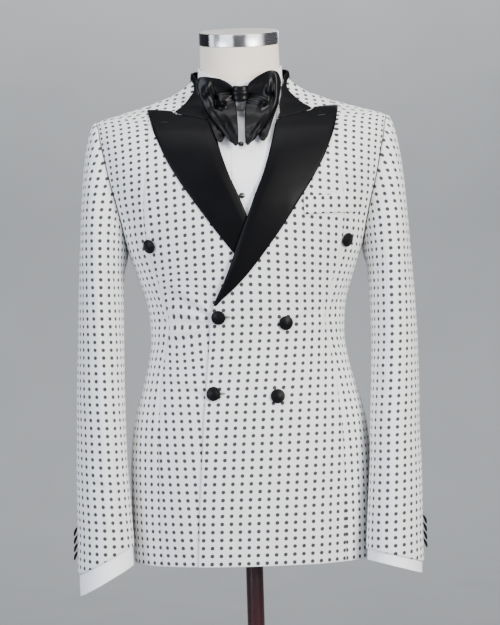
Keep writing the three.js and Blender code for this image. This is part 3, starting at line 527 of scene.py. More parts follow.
def state_sheet(piece, outer, cut, held, *rests_on):
    """Works out a sheet's flat size and area from its grid and keeps neither; piece, held and rests_on are
    not used.
    """
    flat, area = spans(outer, cut)


def weave(across, up, pitch):
    """The height of a plain weave with that pitch in metres."""
    one = (across * (2 * math.pi / pitch)).do("SINE")
    two = (up * (2 * math.pi / pitch)).do("SINE")
    return one * two * 0.5 + 0.5


def cut_of(finish):
    """The two lengths in metres across and up the flat cloth."""
    at = finish.node("ShaderNodeUVMap", {"uv_map": "cut"})[0]
    return finish.node("ShaderNodeSeparateXYZ", {}, {"Vector": at})[:2]


shirting = Finish("shirt_cotton", Sheen_Weight=0.1, Roughness=0.72)
shirt_across, shirt_up = cut_of(shirting)
shirting.set(Base_Color=shirting.mix(shirting.noise(25, 3), (0.88, 0.885, 0.92), (0.93, 0.935, 0.96)))
shirt_grain = weave(shirt_across, shirt_up, 0.0007) * 0.6 + shirting.noise(900, 2) * 0.4
shirting.bump(shirt_grain, 0.25, 0.0002)

NECKLINE = {
    "z": [1425, 1431, 1438.5, 1446, 1454, 1462, 1470, 1477],
    "x": [0, 0, 33, 46, 55, 60, 63.5, 66],
}
neckline = line(NECKLINE, "x")
TUCKS = (20.5, 26.5, 32.5, 38.5, 44.5)


def shirt_depth(z):
    return looser(z, 8, 4.8, 3.4)


def tucks(x, z):
    """The height in mm of narrow tucks: each a flat strip with one raised edge."""
    total = 0
    for at in TUCKS:
        past = np.abs(x) - at
        total = total + 1.3 * np.clip(past / 4.5 + 1, 0, 1) * ease(-past / 0.6 + 1)
    return total * (1 - ease((z - 1440) / 20))


shirt_rows = heights(800, 1473, 1473, edge=False)
for side, name in ((1, "left"), (-1, "right")):
    at_neck = front_turn(neckline(shirt_rows), shirt_rows)
    neck_turn = np.where(shirt_rows <= 1431, front_turn(0.0, shirt_rows), at_neck)
    quarter = np.full(shirt_rows.shape, np.pi / 2)
    for part, start, stop, origin in (
        ("front", neck_turn, side_turn(shirt_rows, False), neck_turn * 0 - np.pi / 2),
        ("back", side_turn(shirt_rows, True), quarter, quarter),
    ):
        turns, along, first, last = spread(shirt_rows, start, stop, origin, 60)
        z = np.broadcast_to(shirt_rows[:, None], turns.shape)
        x = torso(turns, z)[..., 0]
        off = -shirt_depth(z) + (tucks(x, z) * ease(first / 12) if part == "front" else 0 * x)
        cut = np.stack([along, cloth_height(z)], -1) / 1000
        outer, inner = on_torso(turns, z, off), on_torso(turns, z, off - 1.0)
        flip = np.array([side, 1, 1])
        piece = shell(f"shirt_{part}_piece_{name}", outer * flip, inner * flip, cut, lip=0.1)
        fit(piece, shirting, "shirt_cotton", f"shirt_{part}_{name}")
        state_sheet(piece, outer, cut, "hung", "form_torso")

placket_rows = np.linspace(905, 1430, 132)
placket_x = np.concatenate([[-16, -15.6, -14.8], np.linspace(-14, 14, 15), [14.8, 15.6, 16]])
px, pz = np.meshgrid(placket_x, placket_rows)
placket_off = 1.4 - shirt_depth(pz) - 0.25 * np.exp(-(((np.abs(px) - 12.6) / 0.7) ** 2))
placket_off = placket_off - 0.5 * ease((np.abs(px) - 14.6) / 1.4)
outer, inner = on_front(px, pz, placket_off), on_front(px, pz, 0.5 - shirt_depth(pz))
cut = np.stack([px, cloth_height(pz)], -1) / 1000
placket = shell("placket_strip", outer, inner, cut, lip=0.2)
fit(placket, shirting, "shirt_cotton", "shirt_placket")
state_sheet(placket, outer, cut, "laid", "shirt_front_piece_left", "shirt_front_piece_right")

STAND = {
    "turn": [-90, -60, -30, 0, 45, 90],
    "low": [1431.5, 1441.5, 1458, 1478, 1485, 1487],
    "high": [1471, 1478, 1490, 1500, 1506, 1508],
}
stand_turns = np.linspace(-89.7, 269.7, 181)
stand_share = np.concatenate([[0, 0.02, 0.06], np.linspace(0.12, 0.9, 12), [0.95, 0.98, 1]])
turn, share = np.meshgrid(stand_turns, stand_share)
folded = np.where(turn > 90, 180 - turn, turn)
low, high = line(STAND, "low", "turn")(folded), line(STAND, "high", "turn")(folded)
stand_z = low + (high - low) * share
stand_stitch = 0.3 * np.exp(-(((1 - share) * 34 / 4 - 1) ** 2) * 8)
stand_off = 3.1 + 0.25 * np.sin(np.radians(turn) * 5) * share - stand_stitch
outer = raised(neck, np.radians(turn), stand_z, stand_off, (1e-3, 0.4))
inner = raised(neck, np.radians(turn), stand_z, 1.8, (1e-3, 0.4))
cut = np.stack([np.radians(turn) * 63, stand_z - 1437], -1) / 1000
stand = shell("collar_stand", outer, inner, cut, lip=0.4)
fit(stand, shirting, "shirt_cotton", "shirt_collar")
state_sheet(stand, outer, cut, "stretched", "form_neck")

SLEEVE = {
    "z": [700, 750, 800, 850, 925, 1000, 1075, 1150, 1190],
    "x": [216, 217, 218, 219.5, 221.5, 221.5, 220, 218, 216],
    "y": [-69, -61, -53, -45, -33, -22, -12, -5, -2],
    "wide": [42, 42.5, 41, 39.5, 37.5, 36, 35, 34, 33.5],
    "deep": [53, 54, 55, 56.5, 60, 63, 66, 69, 71],
    "turn": [14, 14, 14, 13, 11, 8, 5, 2, 0],
}
ARMS = {  # mm: hem height, its rise inside and behind, cuff shown; and share of the swing
    "left": {"side": 1, "hem": 770, "inner": 9, "back": -8, "cuff": 19, "swing": 1},
    "right": {"side": -1, "hem": 773, "inner": 19, "back": -8, "cuff": 35, "swing": 0},
}
SWING = {
    "z": [700, 850, 950, 1030, 1110, 1190],
    "x": [-13, -9.5, -7.5, -3.5, 0, 0],
    "y": [-20, -17, -11, -5, 0, 0],
}
SLEEVE_HEAD, HEAD_SHARE = 1190, 0.66
sleeve_x, sleeve_y, sleeve_wide, sleeve_deep, sleeve_turn = (
    line(SLEEVE, column) for column in ("x", "y", "wide", "deep", "turn")
)
swing_x, swing_y = line(SWING, "x"), line(SWING, "y")


def sleeve_length(arm):
    return (SLEEVE_HEAD - arm["hem"]) / HEAD_SHARE


def sleeve_section(arm, phi, z):
    """An arm's oval at height z in mm, drawn for the left side; phi is 0 inside and 90
    degrees behind."""
    across, along = -sleeve_wide(z) * np.cos(phi), sleeve_deep(z) * np.sin(phi)
    turn = np.radians(sleeve_turn(z))
    x = sleeve_x(z) + arm["swing"] * swing_x(z) + across * np.cos(turn) + along * np.sin(turn)
    y = sleeve_y(z) + arm["swing"] * swing_y(z) - across * np.sin(turn) + along * np.cos(turn)
    return np.stack([x, y, z + 0 * phi], -1)


def armhole_point(phi):
    """The armhole's edge, just inside the panels' edges."""
    z = HOLE_MIDDLE - (HOLE_HALF - SEAM) * np.cos(phi)
    back = np.sin(phi) > 0
    reach = (np.where(back, ARMHOLE_BACK, ARMHOLE_FRONT) - SEAM) * np.abs(np.sin(phi))
    depth = np.where(back, torso_back(z), torso_front(z))
    turn = np.arcsin((reach / depth) ** (torso_square(z) / 2))
    return on_torso(np.where(back, turn, -turn), z, SEAM)


def sleeve(arm, phi, s):
    """An arm's outer surface in mm, drawn for the left side, s from 0 at its hem to 1 at
    the armhole: ovals up to the head's share, and above them a cubic from the last
    oval's own direction into the armhole, outwards at its top, where its pull is
    weakest, and downwards at its foot."""
    phi, s = np.broadcast_arrays(np.asarray(phi, float), np.asarray(s, float))
    hem = arm["hem"] + arm["inner"] * np.cos(phi) + arm["back"] * np.sin(phi)
    low = sleeve_section(arm, phi, hem + (SLEEVE_HEAD - hem) * s / HEAD_SHARE)
    k = np.clip((s - HEAD_SHARE) / (1 - HEAD_SHARE), 0, None)[..., None]
    top = np.full(phi.shape, float(SLEEVE_HEAD))
    start, stop = sleeve_section(arm, phi, top), armhole_point(phi)
    reach = np.linalg.norm(stop - start, axis=-1, keepdims=True)
    up = start - sleeve_section(arm, phi, top - 40)
    into = np.stack([0.5 * np.cos(phi) - 0.45, -0.35 * np.sin(phi), 0.65 + 0.35 * np.cos(phi)], -1)
    up = up * reach / np.linalg.norm(up, axis=-1, keepdims=True)
    pull = reach * (0.69 + 0.39 * np.cos(phi))[..., None]
    into = into * pull / np.linalg.norm(into, axis=-1, keepdims=True)
    head = start * (2 * k**3 - 3 * k**2 + 1) + up * (k**3 - 2 * k**2 + k)
    head = head + stop * (3 * k**2 - 2 * k**3) + into * (k**3 - k**2)
    return np.where(s[..., None] <= HEAD_SHARE, low, head)


def on_sleeve(arm, phi, s, off=0.0):
    return raised(lambda a, b: sleeve(arm, a, b), phi, s, off, (1e-3, 1e-3), turn=-1)


def sleeve_cut(points, column, rows):
    """The flat place in metres of a sleeve's grid: across it from a column, square to
    its columns, and up each column from the height where the head begins."""
    up = np.gradient(points, axis=0)
    up = up / np.linalg.norm(up, axis=-1, keepdims=True)
    steps = np.cross(np.diff(points, axis=1), (up[:, 1:] + up[:, :-1]) / 2)
    across = np.cumsum(np.linalg.norm(steps, axis=-1), axis=1)
    across = np.concatenate([0 * across[:, :1], across], axis=1)
    rise = np.cumsum(np.linalg.norm(np.diff(points, axis=0), axis=-1), axis=0)
    rise = np.concatenate([0 * rise[:1], rise])
    start = rise[min(np.searchsorted(rows, HEAD_SHARE), len(rows) - 1)]
    return np.stack([across - across[:, [column]], rise - start], -1) / 1000


ring_turns = np.linspace(0, 2 * np.pi, 120, endpoint=False)
for name, arm in ARMS.items():
    flip, long = np.array([arm["side"], 1, 1]), sleeve_length(arm)
    low, high = -arm["cuff"] * 0.84 / long, 30 / long
    near = np.array([0, 0.5, 1.3, 2.4]) / long
    rows = np.concatenate([low + near, np.linspace(low, high, 16)[2:-1], [high]])
    phi, s = np.meshgrid(ring_turns, rows)
    wave = 0.35 * np.sin(3 * phi + arm["side"]) * ease((high - s) / (high - low))
    lower_hem = 0.45 * np.exp(-((((s - low) * long - 6.5) / 0.7) ** 2))
    outer = on_sleeve(arm, phi, s, -2.6 + wave - lower_hem)
    inner = on_sleeve(arm, phi, s, -4.0 + wave)
    cut = sleeve_cut(outer, 30, rows)
    cuff = shell(f"cuff_band_{name}", outer * flip, inner * flip, cut, wrap=True)
    fit(cuff, shirting, "shirt_cotton", f"shirt_cuff_{name}")
    state_sheet(cuff, outer, cut, "hung", f"sleeve_lining_{name}")
    rows = np.linspace(high + 0.6 / long, 0.92, 90)
    phi, s = np.meshgrid(ring_turns, rows)
    outer, inner = on_sleeve(arm, phi, s, -4.4), on_sleeve(arm, phi, s, -5.4)
    cut = sleeve_cut(outer, 30, rows)
    lining = shell(f"sleeve_lining_{name}", outer * flip, inner * flip, cut, wrap=True, lip=0.2)
    fit(lining, shirting, "shirt_cotton", f"shirt_sleeve_{name}")
    state_sheet(lining, outer, cut, "hung", f"upper_sleeve_{name}")


# Shirt studs
# Two small black enamelled studs through the placket, domed inside a narrow rim.


def round_piece(name, profile, at, normal, steps=48, sharp=None):
    """A turned profile of (radius, height) in mm, stood on a point along a normal."""
    piece = turned(name, profile, steps, sharp)
    turn = Vector((0, 0, 1)).rotation_difference(Vector(normal)).to_matrix().to_4x4()
    piece.data.transform(Matrix.Translation(Vector(at) / 1000) @ turn)
    return piece


def facing(surface, x, z, reach):
    """The direction that a front surface faces about a point."""
    across = surface(x + reach, z) - surface(x - reach, z)
    up = surface(x, z + reach) - surface(x, z - reach)
    normal = np.cross(across, up)
    return normal / np.linalg.norm(normal)


enamel = Finish("stud_enamel", Base_Color=(0.012, 0.012, 0.013), Coat_Weight=0.8, Coat_Roughness=0.04)
enamel.set(Roughness=enamel.noise(400, 2) * 0.1 + 0.12)
enamel.bump(enamel.noise(500, 2), 0.04, 0.0002)
STUD = [(0, 0), (3.7, 0), (4.2, 0.5), (4.15, 0.9), (3.7, 1.15)]
STUD += [(3.3, 1.0), (2.6, 1.5), (1.4, 1.95), (0, 2.1)]
for number, (x, z) in enumerate(((-1.3, 1378), (-2, 1300.7)), 1):

    def placket_face(x, z):
        return on_front(x, z, 1.4 - shirt_depth(z))

    normal = facing(placket_face, x, z, 4)
    at = placket_face(x, z) + 0.3 * normal
    fit(round_piece(f"shirt_stud_{number}", STUD, at, normal), enamel, "stud_enamel", f"stud_{number}")


# Bow tie
# A soft satin butterfly tied by hand: on each side a doubled loop that droops to a
# point over a single tail, gathered into folds by a wrapped knot.

BOW_LOOP = {  # mm: from top to tip, the inner and outer edges' x on each side and their z
    "share": [0, 0.2, 0.4, 0.6, 0.8, 1],
    "inX": [10.5, 9.8, 9.3, 6.9, 5.2, 5],
    "inZ": [1464, 1459, 1451, 1436, 1408, 1374],
    "left": [57.5, 60.5, 57.5, 47.5, 31, 12],
    "right": [62.5, 64.5, 59, 49, 31, 12],
    "leftZ": [1483.5, 1469.5, 1447, 1425, 1398, 1373],
    "rightZ": [1478, 1465, 1446, 1425, 1398, 1372],
}
BOW_TAIL = {
    "share": [0, 0.3, 0.6, 1],
    "inX": [12, 13, 17, 27],
    "inZ": [1458, 1445, 1420, 1379],
    "outX": [57, 57, 47, 35.5],
    "outZ": [1470, 1446, 1414, 1380],
}
BOW_REST = {"z": [1376, 1400, 1425, 1445, 1458, 1500], "y": [-106, -92.5, -66, -57, -54.2, -53]}
BOW_DEPTH, BOW_LIFT, KNOT_Z = 13, 3.5, 1453.5
BOW_ARCH = {"left": 8.6, "right": 6.0}
bow_rest = line(BOW_REST, "y")


def strokes(x, z, rows):
    """The sum of soft folds in mm. Each row is one: where it starts, its height there,
    where it ends, its height there, and its half width; a height under 0 is a trough.
    Its height falls off as exp(-(distance / half width)^2)."""
    total = 0 * x
    for x0, z0, tall0, x1, z1, tall1, wide in rows:
        dx, dz = x1 - x0, z1 - z0
        s = np.clip(((x - x0) * dx + (z - z0) * dz) / (dx * dx + dz * dz), 0, 1)
        away = np.hypot(x - x0 - s * dx, z - z0 - s * dz)
        total = total + (tall0 + (tall1 - tall0) * s) * np.exp(-((away / wide) ** 2))
    return total


bow_satin = Finish("bow_satin", Specular_IOR_Level=0.15)
crumple = bow_satin.noise(45, 3)
bow_satin.set(
    Base_Color=bow_satin.mix(crumple, (0.0015, 0.0015, 0.002), (0.004, 0.004, 0.005)),
    Roughness=bow_satin.noise(60, 2) * 0.06 + 0.31,
)
bow_satin.bump(crumple * 0.8 + bow_satin.noise(900, 2, (1, 1, 0.2)) * 0.03, 0.12, 0.0018)

LOOP_FOLDS = {
    "left": [
        (11, 1449.5, -4.5, 35, 1448, -0.6, 2.8),
        (11, 1456, 3.8, 34, 1469, 0.2, 4.4),
        (18, 1447, 0.6, 34, 1438, 4.2, 4.2),
        (34, 1438, 4.2, 22, 1420, 0.4, 4.4),
        (10, 1441, -3.6, 26, 1435, -0.8, 2.8),
        (43, 1474, 0.2, 41, 1455, 3.6, 4.0),
        (41, 1455, 3.6, 42, 1440, 0.4, 4.0),
        (48, 1474, -0.3, 47, 1450, -3.6, 3.0),
        (47, 1450, -3.6, 44, 1428, -0.5, 3.0),
        (55, 1490, 1.8, 54, 1436, 3.0, 4.0),
        (48, 1430, 0.4, 30, 1404, 3.0, 5.4),
        (30, 1404, 3.0, 12, 1380, 1.0, 5.0),
        (38, 1426, -0.4, 12, 1392, -2.6, 3.0),
        (53, 1429, -1.0, 24, 1393, -2.2, 2.4),
    ],
    "right": [
        (11, 1456, -4.6, 36, 1452.5, -0.6, 3.0),
        (11, 1461, 3.8, 34, 1472, 0.2, 4.4),
        (42, 1470, -0.4, 36.5, 1449, -5.2, 2.8),
        (36.5, 1449, -5.2, 36.5, 1434, -4.2, 2.6),
        (36.5, 1434, -4.0, 20, 1429, -0.5, 2.6),
        (45, 1476, 0.2, 51, 1456, 5.0, 5.2),
        (51, 1456, 5.0, 43, 1434, 0.5, 5.2),
        (32, 1449, 0.5, 27, 1438, 4.0, 4.0),
        (27, 1438, 4.0, 24, 1430, 0.5, 4.0),
        (10, 1447, -3.4, 22, 1440, -0.6, 3.0),
        (60, 1476, -0.4, 58, 1446, -2.8, 2.8),
        (36, 1430, 0.4, 22, 1406, 3.6, 5.4),
        (22, 1406, 3.6, 10, 1380, 1.0, 5.0),
        (44, 1431, -0.8, 17, 1384, -2.4, 2.6),
        (22, 1424, -0.4, 8, 1396, -2.0, 3.4),
    ],
}
for side, name in ((1, "left"), (-1, "right")):
    columns = ("inX", "inZ", name, name + "Z")
    in_x, in_z, out_x, out_z = (line(BOW_LOOP, column, "share") for column in columns)
    turn, w = np.meshgrid(np.linspace(0, 2, 97), np.linspace(0, 1, 80))
    out = np.where(turn <= 1, turn, 2 - turn)
    out = 1 - (1 - out) ** 1.15
    x = in_x(w) + (out_x(w) - in_x(w)) * out * (1 - 0.02 * np.exp(-((w / 0.04) ** 2)))
    arch = BOW_ARCH[name] * np.sin(np.pi * out) ** 0.75 * (1 - ease(w / 0.4))
    tip = 3 * (2 * out - 1) ** 2 * np.exp(-(((1 - w) / 0.04) ** 2))
    z = in_z(w) + (out_z(w) - in_z(w)) * out + arch + tip
    curve = np.sqrt(1 - np.clip(2 * out - 1, 0, 1) ** 2)
    deep = BOW_DEPTH * curve * (1 - 0.55 * w) * (0.6 + 0.4 * np.sqrt(out))
    y = bow_rest(z) - BOW_LIFT - deep * np.where(turn > 1, 1, 0) - (1 - curve) * 2
    fold = strokes(x, z, LOOP_FOLDS[name])
    body = ease((1 - out) / 0.25) * ease(w / 0.06) * ease((1 - w) / 0.08)
    y = y - fold * np.where(turn > 1, body, 0.25 * body)
    scallop = 0.6 * np.sin(out * 9 + side) * np.exp(-((w / 0.12) ** 2))
    outer = np.stack([side * x, y, z + scallop], -1)
    across, up = np.gradient(outer, axis=1), np.gradient(outer, axis=0)
    normal = np.cross(across, up) * -side
    normal = normal / np.maximum(np.linalg.norm(normal, axis=-1, keepdims=True), 1e-9)
    inner = outer + normal * 0.7 * np.minimum(1, 4 * curve[..., None] + 0.2)
    cut = np.stack([turn * 50, w * 95], -1) / 1000
    loop = shell(f"tie_loop_{name}", outer, inner, cut, lip=0.2)
    fit(loop, bow_satin, "bow_satin", f"bow_loop_{name}")
    doubled = np.cumsum(np.linalg.norm(across, axis=-1), 1)
    flat_cut = np.stack([doubled, w * 118], -1) / 1000
    state_sheet(loop, outer, flat_cut, "folded", "tie_knot", f"tie_tail_{name}")

TAIL_FOLDS = [
    (14, 1452, 1.8, 30, 1392, 1.4, 3.5),
    (22, 1455, -1.6, 33, 1400, -1.0, 3.0),
    (40, 1460, 1.4, 38, 1400, 1.0, 4.0),
]
for side, name in ((1, "left"), (-1, "right")):
    columns = ("inX", "inZ", "outX", "outZ")
    in_x, in_z, out_x, out_z = (line(BOW_TAIL, column, "share") for column in columns)
    out, w = np.meshgrid(np.linspace(0, 1, 40), np.linspace(0, 1, 50))
    x = in_x(w) + (out_x(w) - in_x(w)) * out
    z = in_z(w) + (out_z(w) - in_z(w)) * out + 3 * (2 * out - 1) ** 2 * np.exp(-(((1 - w) / 0.05) ** 2))
    rest = bow_rest(z) - 0.3 - np.clip(strokes(x, z, TAIL_FOLDS), 0, 3)
    outer = np.stack([side * x, rest - 1.2, z], -1)
    inner = np.stack([side * x, rest, z], -1)
    cut = np.stack([x - 12, z - 1385], -1) / 1000
    tail = shell(f"tie_tail_{name}", outer, inner, cut, lip=0.3)
    fit(tail, bow_satin, "bow_satin", f"bow_tail_{name}")
    state_sheet(tail, outer, cut, "folded", "tie_knot", f"lapel_facing_{name}")

knot_turns = np.linspace(0, 2 * np.pi, 72, endpoint=False)
rise, turn = np.meshgrid(np.linspace(-1, 1, 45), knot_turns, indexing="ij")
round_end = (1 - np.abs(rise) ** 5) ** 0.35
pleat = 1 + 0.06 * np.cos(rise * 6 + 0.3 * np.sin(turn)) * (1 - rise**2)
c, s = np.cos(turn), np.sin(turn)
reach = (0.72 + 0.28 * round_end) * pleat
knot_points = np.stack(
    [
        12.2 * reach * np.sign(c) * np.abs(c) ** 0.9 * (1 - 0.06 * rise**2),
        bow_rest(KNOT_Z) - 9.5 + 9 * reach * np.sign(s) * np.abs(s) ** 0.9,
        KNOT_Z + 11 * rise + 0.8 * np.cos(turn * 2),
    ],
    -1,
)
knot = closed_rings("tie_knot", knot_points / 1000)
fit(knot, bow_satin, "bow_satin", "bow_knot")


# Jacket body
# A dotted wool-blend front, side front and back on each side, joined by pressed-open
# princess, side and shoulder seams. The left front laps over the right one, is held
# by two buttons and pulls into soft creases from them.

EDGES = {
    "z": [764, 841, 912, 992, 1058, 1095, 1120, 1139, 1184, 1240, 1269, 1301, 1333, 1378, 1427]
    + [1470, 1484],
    "edge": [-80, -76, -71, -65, -58, -54.5, -52.5, -47.6, -27.8, -6.2, 5.2, 17.2, 30.3, 43.7, 54.5]
    + [63.5, 66],
    "princess": [135, 136, 136, 133, 126, 118, 115.5, 119, 131, 145, 147.5, 147, 143, 139, 138]
    + [138, 138],
    "lean": [8, 8, 9, 10, 11, 12, 12, 12, 11, 10.5, 10, 9.5, 9, 8.5, 6, 0, 0],
}
front_edge, princess, edge_lean = (line(EDGES, column) for column in ("edge", "princess", "lean"))
CLOTH, DOT_ACROSS, DOT_UP = 2.0, 0.0132, 0.0115

dotted = Finish("dotted_cloth", Sheen_Weight=0.12, Sheen_Roughness=0.45, Roughness=0.82)
across, up = cut_of(dotted)
wander = dotted.noise(160, 2) * 0.0006 - 0.0003
cell_x = ((across + wander) / DOT_ACROSS).do("FRACT") * DOT_ACROSS - DOT_ACROSS / 2
cell_z = ((up + wander) / DOT_UP).do("FRACT") * DOT_UP - DOT_UP / 2
away = (cell_x * cell_x + cell_z * cell_z) ** 0.5
ink = away.ramp(0.0032, 0.00265)
ground = dotted.mix(dotted.noise(1100, 2), (0.68, 0.68, 0.675), (0.85, 0.852, 0.855))
dye = dotted.mix(dotted.noise(900, 2), (0.020, 0.022, 0.026), (0.040, 0.044, 0.050))
dotted.set(Base_Color=dotted.mix(ink, ground, dye))
grain = weave(across, up, 0.0009) * 0.5 + dotted.noise(1300, 2) * 0.5
dotted.bump(grain + ink * 0.25, 0.3, 0.0003)


def overlap(x, z):
    """How far the left front stands off to clear the right front and its lapel."""
    start = -(front_edge(z) - edge_lean(z)) + 5
    past = 1 - ease((x - start) / (princess(z) - 4 - start))
    low = 1 - ease((z - 1292) / 50)
    crossing = ease((z - 1108) / 31) * (1 - ease((z - 1285) / 40))
    return 3.0 * past * low + 2.9 * crossing * (1 - ease((x - 62) / 34))


def no_lift(x, z):
    """The right front lies straight on the body's line."""
    return 0 * x


FRONT_CREASES = [
    (-52, 1124, -3.2, -114, 1162, -1.0, 4.5),
    (-50, 1132, 3.0, -108, 1176, 0.9, 6.0),
    (-53, 1119, 2.6, -122, 1142, 0.8, 5.0),
    (-53, 1115, -2.4, -126, 1120, -1.0, 4.5),
    (-56, 1110, 2.0, -122, 1102, 0.8, 5.5),
    (-57, 1107, -2.0, -124, 1082, -1.0, 5.5),
    (-62, 1012, -1.6, -120, 1030, -0.6, 5.5),
    (-62, 1019, 1.4, -122, 1044, 0.5, 6.5),
    (-62, 1004, 1.2, -118, 996, 0.5, 6.5),
    (66, 1116, -1.5, 128, 1140, -0.9, 6.0),
    (66, 1123, 1.3, 126, 1154, 0.8, 7.0),
    (66, 1107, 1.1, 130, 1111, 0.9, 7.0),
    (20, 1130, -0.7, -30, 1122, -0.9, 5.0),
    (24, 1121, 0.6, -28, 1117, 0.8, 5.0),
    (150, 1165, -1.8, 118, 1120, -1.4, 6.5),
    (-146, 1166, -2.2, -118, 1112, -1.8, 6.5),
    (-141, 1228, -1.7, -118, 1300, -0.7, 8.0),
    (148, 1230, -1.5, 126, 1290, -0.5, 8.0),
    (-170, 1268, -2.4, -150, 1340, -1.0, 9.0),
    (172, 1262, -2.2, 150, 1335, -0.9, 9.0),
    (-30, 800, -1.2, -36, 960, -0.6, 9.0),
    (96, 800, 1.6, 92, 960, 0.5, 15.0),
    (-104, 800, 1.6, -96, 960, 0.5, 15.0),
    (62, 960, -1.1, 92, 830, -1.5, 12.0),
]
BACK_CREASES = [
    (0, 1120, -1.2, 70, 1106, -0.6, 7.0),
    (0, 1106, 1.0, 76, 1092, 0.6, 8.0),
    (0, 1120, -1.0, -74, 1112, -0.6, 7.0),
    (0, 1107, 0.9, -70, 1090, 0.5, 8.0),
    (118, 1256, -1.4, 74, 1340, -0.5, 9.0),
    (-120, 1250, -1.5, -78, 1344, -0.5, 9.0),
    (60, 1020, 0.8, 84, 830, 0.9, 16.0),
    (-58, 1020, 0.8, -88, 830, 0.9, 16.0),
    (30, 980, -0.7, 34, 800, -0.9, 12.0),
    (-34, 980, -0.7, -30, 800, -0.8, 12.0),
]


def uneven(x, z):
    """A slow waviness of the cloth, a third of a mm either way."""
    return 0.3 * np.sin(x / 21 + 1.4 * np.sin(z / 67)) * np.sin(z / 49 + x / 90)


def pull(x, z):
    """How far in mm the right front's rows of dots rise above level on their way from
    its top fastened button: they fan out, up over it and down under it."""
    away, above = np.clip(-50 - x, 0, 55), z - 1117
    fan = 0.2 * np.exp(-(((above - 34) / 34) ** 2)) - 0.12 * np.exp(-(((above + 34) / 34) ** 2))
    return away * fan * (1 - ease((-50 - x - 40) / 50) * 0.5)


def panel(name, rows, start, stop, origin, side, cols, lift=None, creases=FRONT_CREASES, free=False):
    """A cut piece of the jacket between two edges' turns, mirrored where side is -1: its
    outer face stands off by its lift and its creases and rolls down into its seams, and
    less into a free front edge. origin is the turn of the cloth's own upright line. It
    comes with its unmirrored outer grid and cut."""
    turns, along, first, last = spread(rows, start, stop, origin, cols)
    z = np.broadcast_to(rows[:, None], turns.shape)
    x = torso(turns, z)[..., 0]
    off = lift(x, z) if lift else 0 * x
    inner_off = off - CLOTH + 0.2
    soft = ease(first / 14) * ease(last / 14) * ease((z - HEM) / 14 + 0.3)
    off = off + (strokes(side * x, z, creases) + uneven(side * x, z)) * (0.25 + 0.75 * soft)
    off = off - (0.35 if free else 0.9) * (1 - ease(first / (1.5 if free else 3.4)))
    off = off - 0.9 * (1 - ease(last / 3.4)) - 0.4 * (1 - ease((z - HEM) / 1.6))
    lean_up = (np.abs(x) - 60) * (0.09 * ease((z - 1100) / 120) + 0.11 * ease((z - 1270) / 140))
    fanned = pull(side * x, z) if free else 0 * x
    cut = np.stack([along, cloth_height(z) + lean_up - fanned], -1) / 1000
    outer = on_torso(turns, z, off)
    inner = on_torso(turns, z, np.minimum(inner_off, off - 0.9))
    flip = np.array([side, 1, 1])
    return shell(name, outer * flip, inner * flip, cut, lip=0.15), outer, cut


body_rows = heights(HEM, 1484, 1484)
seam_rows = heights(HEM, 1445.4, 1484)
ridge = np.where(princess(body_rows) < torso_wide(body_rows), front_turn(princess(body_rows), body_rows), 0)
for side, name, lap in ((1, "left", overlap), (-1, "right", None)):
    shift = 0 if side > 0 else 1
    edge_x = front_edge(body_rows) - shift * edge_lean(body_rows)
    upright = np.minimum(edge_x, front_edge(1120) - shift * edge_lean(1120))
    piece, outer, cut = panel(
        f"jacket_front_{name}",
        body_rows,
        front_turn(edge_x, body_rows),
        ridge,
        front_turn(upright, body_rows),
        side,
        52,
        lift=lap,
        free=True,
    )
    fit(piece, dotted, "dotted_cloth", f"front_{name}")
    state_sheet(piece, outer, cut, "hung", "form_torso")
    princess_turn = front_turn(princess(seam_rows), seam_rows)
    armhole = side_turn(seam_rows, False)
    piece, outer, cut = panel(
        f"jacket_side_front_{name}",
        seam_rows,
        princess_turn,
        np.maximum(armhole, princess_turn + 1e-3),
        princess_turn * 0.8 + armhole * 0.2,
        side,
        18,
    )
    fit(piece, dotted, "dotted_cloth", f"side_front_{name}")
    state_sheet(piece, outer, cut, "hung", "form_torso")
    centre = np.full(body_rows.shape, np.pi / 2)
    piece, outer, cut = panel(
        f"jacket_back_{name}",
        body_rows,
        side_turn(body_rows, True),
        centre,
        centre,
        side,
        52,
        creases=BACK_CREASES,
    )
    fit(piece, dotted, "dotted_cloth", f"back_{name}")
    state_sheet(piece, outer, cut, "hung", "form_torso")


# Lapels and collar
# Peak lapels and a collar faced with black satin over canvas, rolled softly along
# the break and lying on the fronts, shoulders and back.

LAPEL = {
    "z": [1139, 1152, 1162, 1176.6, 1192.4, 1219.4, 1255, 1293.7, 1323, 1352.6, 1378, 1404, 1431],
    "out": [-46.2, -34, -22.5, -7.4, 6.8, 28.4, 54.8, 81.2, 100.5, 117.4, 128.6, 137.9, 144.5],
}
LAPEL_TOP = {
    "share": [0, 0.199, 0.389, 0.572, 0.595, 0.798, 1],
    "x": [52.5, 70, 88, 105.7, 107.7, 126, 144.5],
    "z": [1413, 1417.4, 1422.3, 1427.4, 1430.6, 1433.4, 1435.5],
}
LAYER, SATIN = 0.9, 1.8
lapel_out = line(LAPEL, "out")

satin = Finish("black_satin", Specular_IOR_Level=0.075)
satin.set(
    Base_Color=satin.mix(satin.noise(18, 3), (0.0015, 0.0015, 0.002), (0.004, 0.004, 0.005)),
    Roughness=satin.noise(60, 3) * 0.08 + 0.40,
)
satin.bump(satin.noise(1200, 2, (1, 1, 0.15)) * 0.3 + satin.noise(30, 2) * 0.7, 0.25, 0.0012)


def lapel_face(side, lift):
    """The front surface that a lapel lies on, mirrored for the right one."""

    def face(x, z, off):
        moved = x if side > 0 else x - edge_lean(z)
        return on_front(moved, z, lift(moved, z) + off) * np.array([side, 1, 1])

    return face


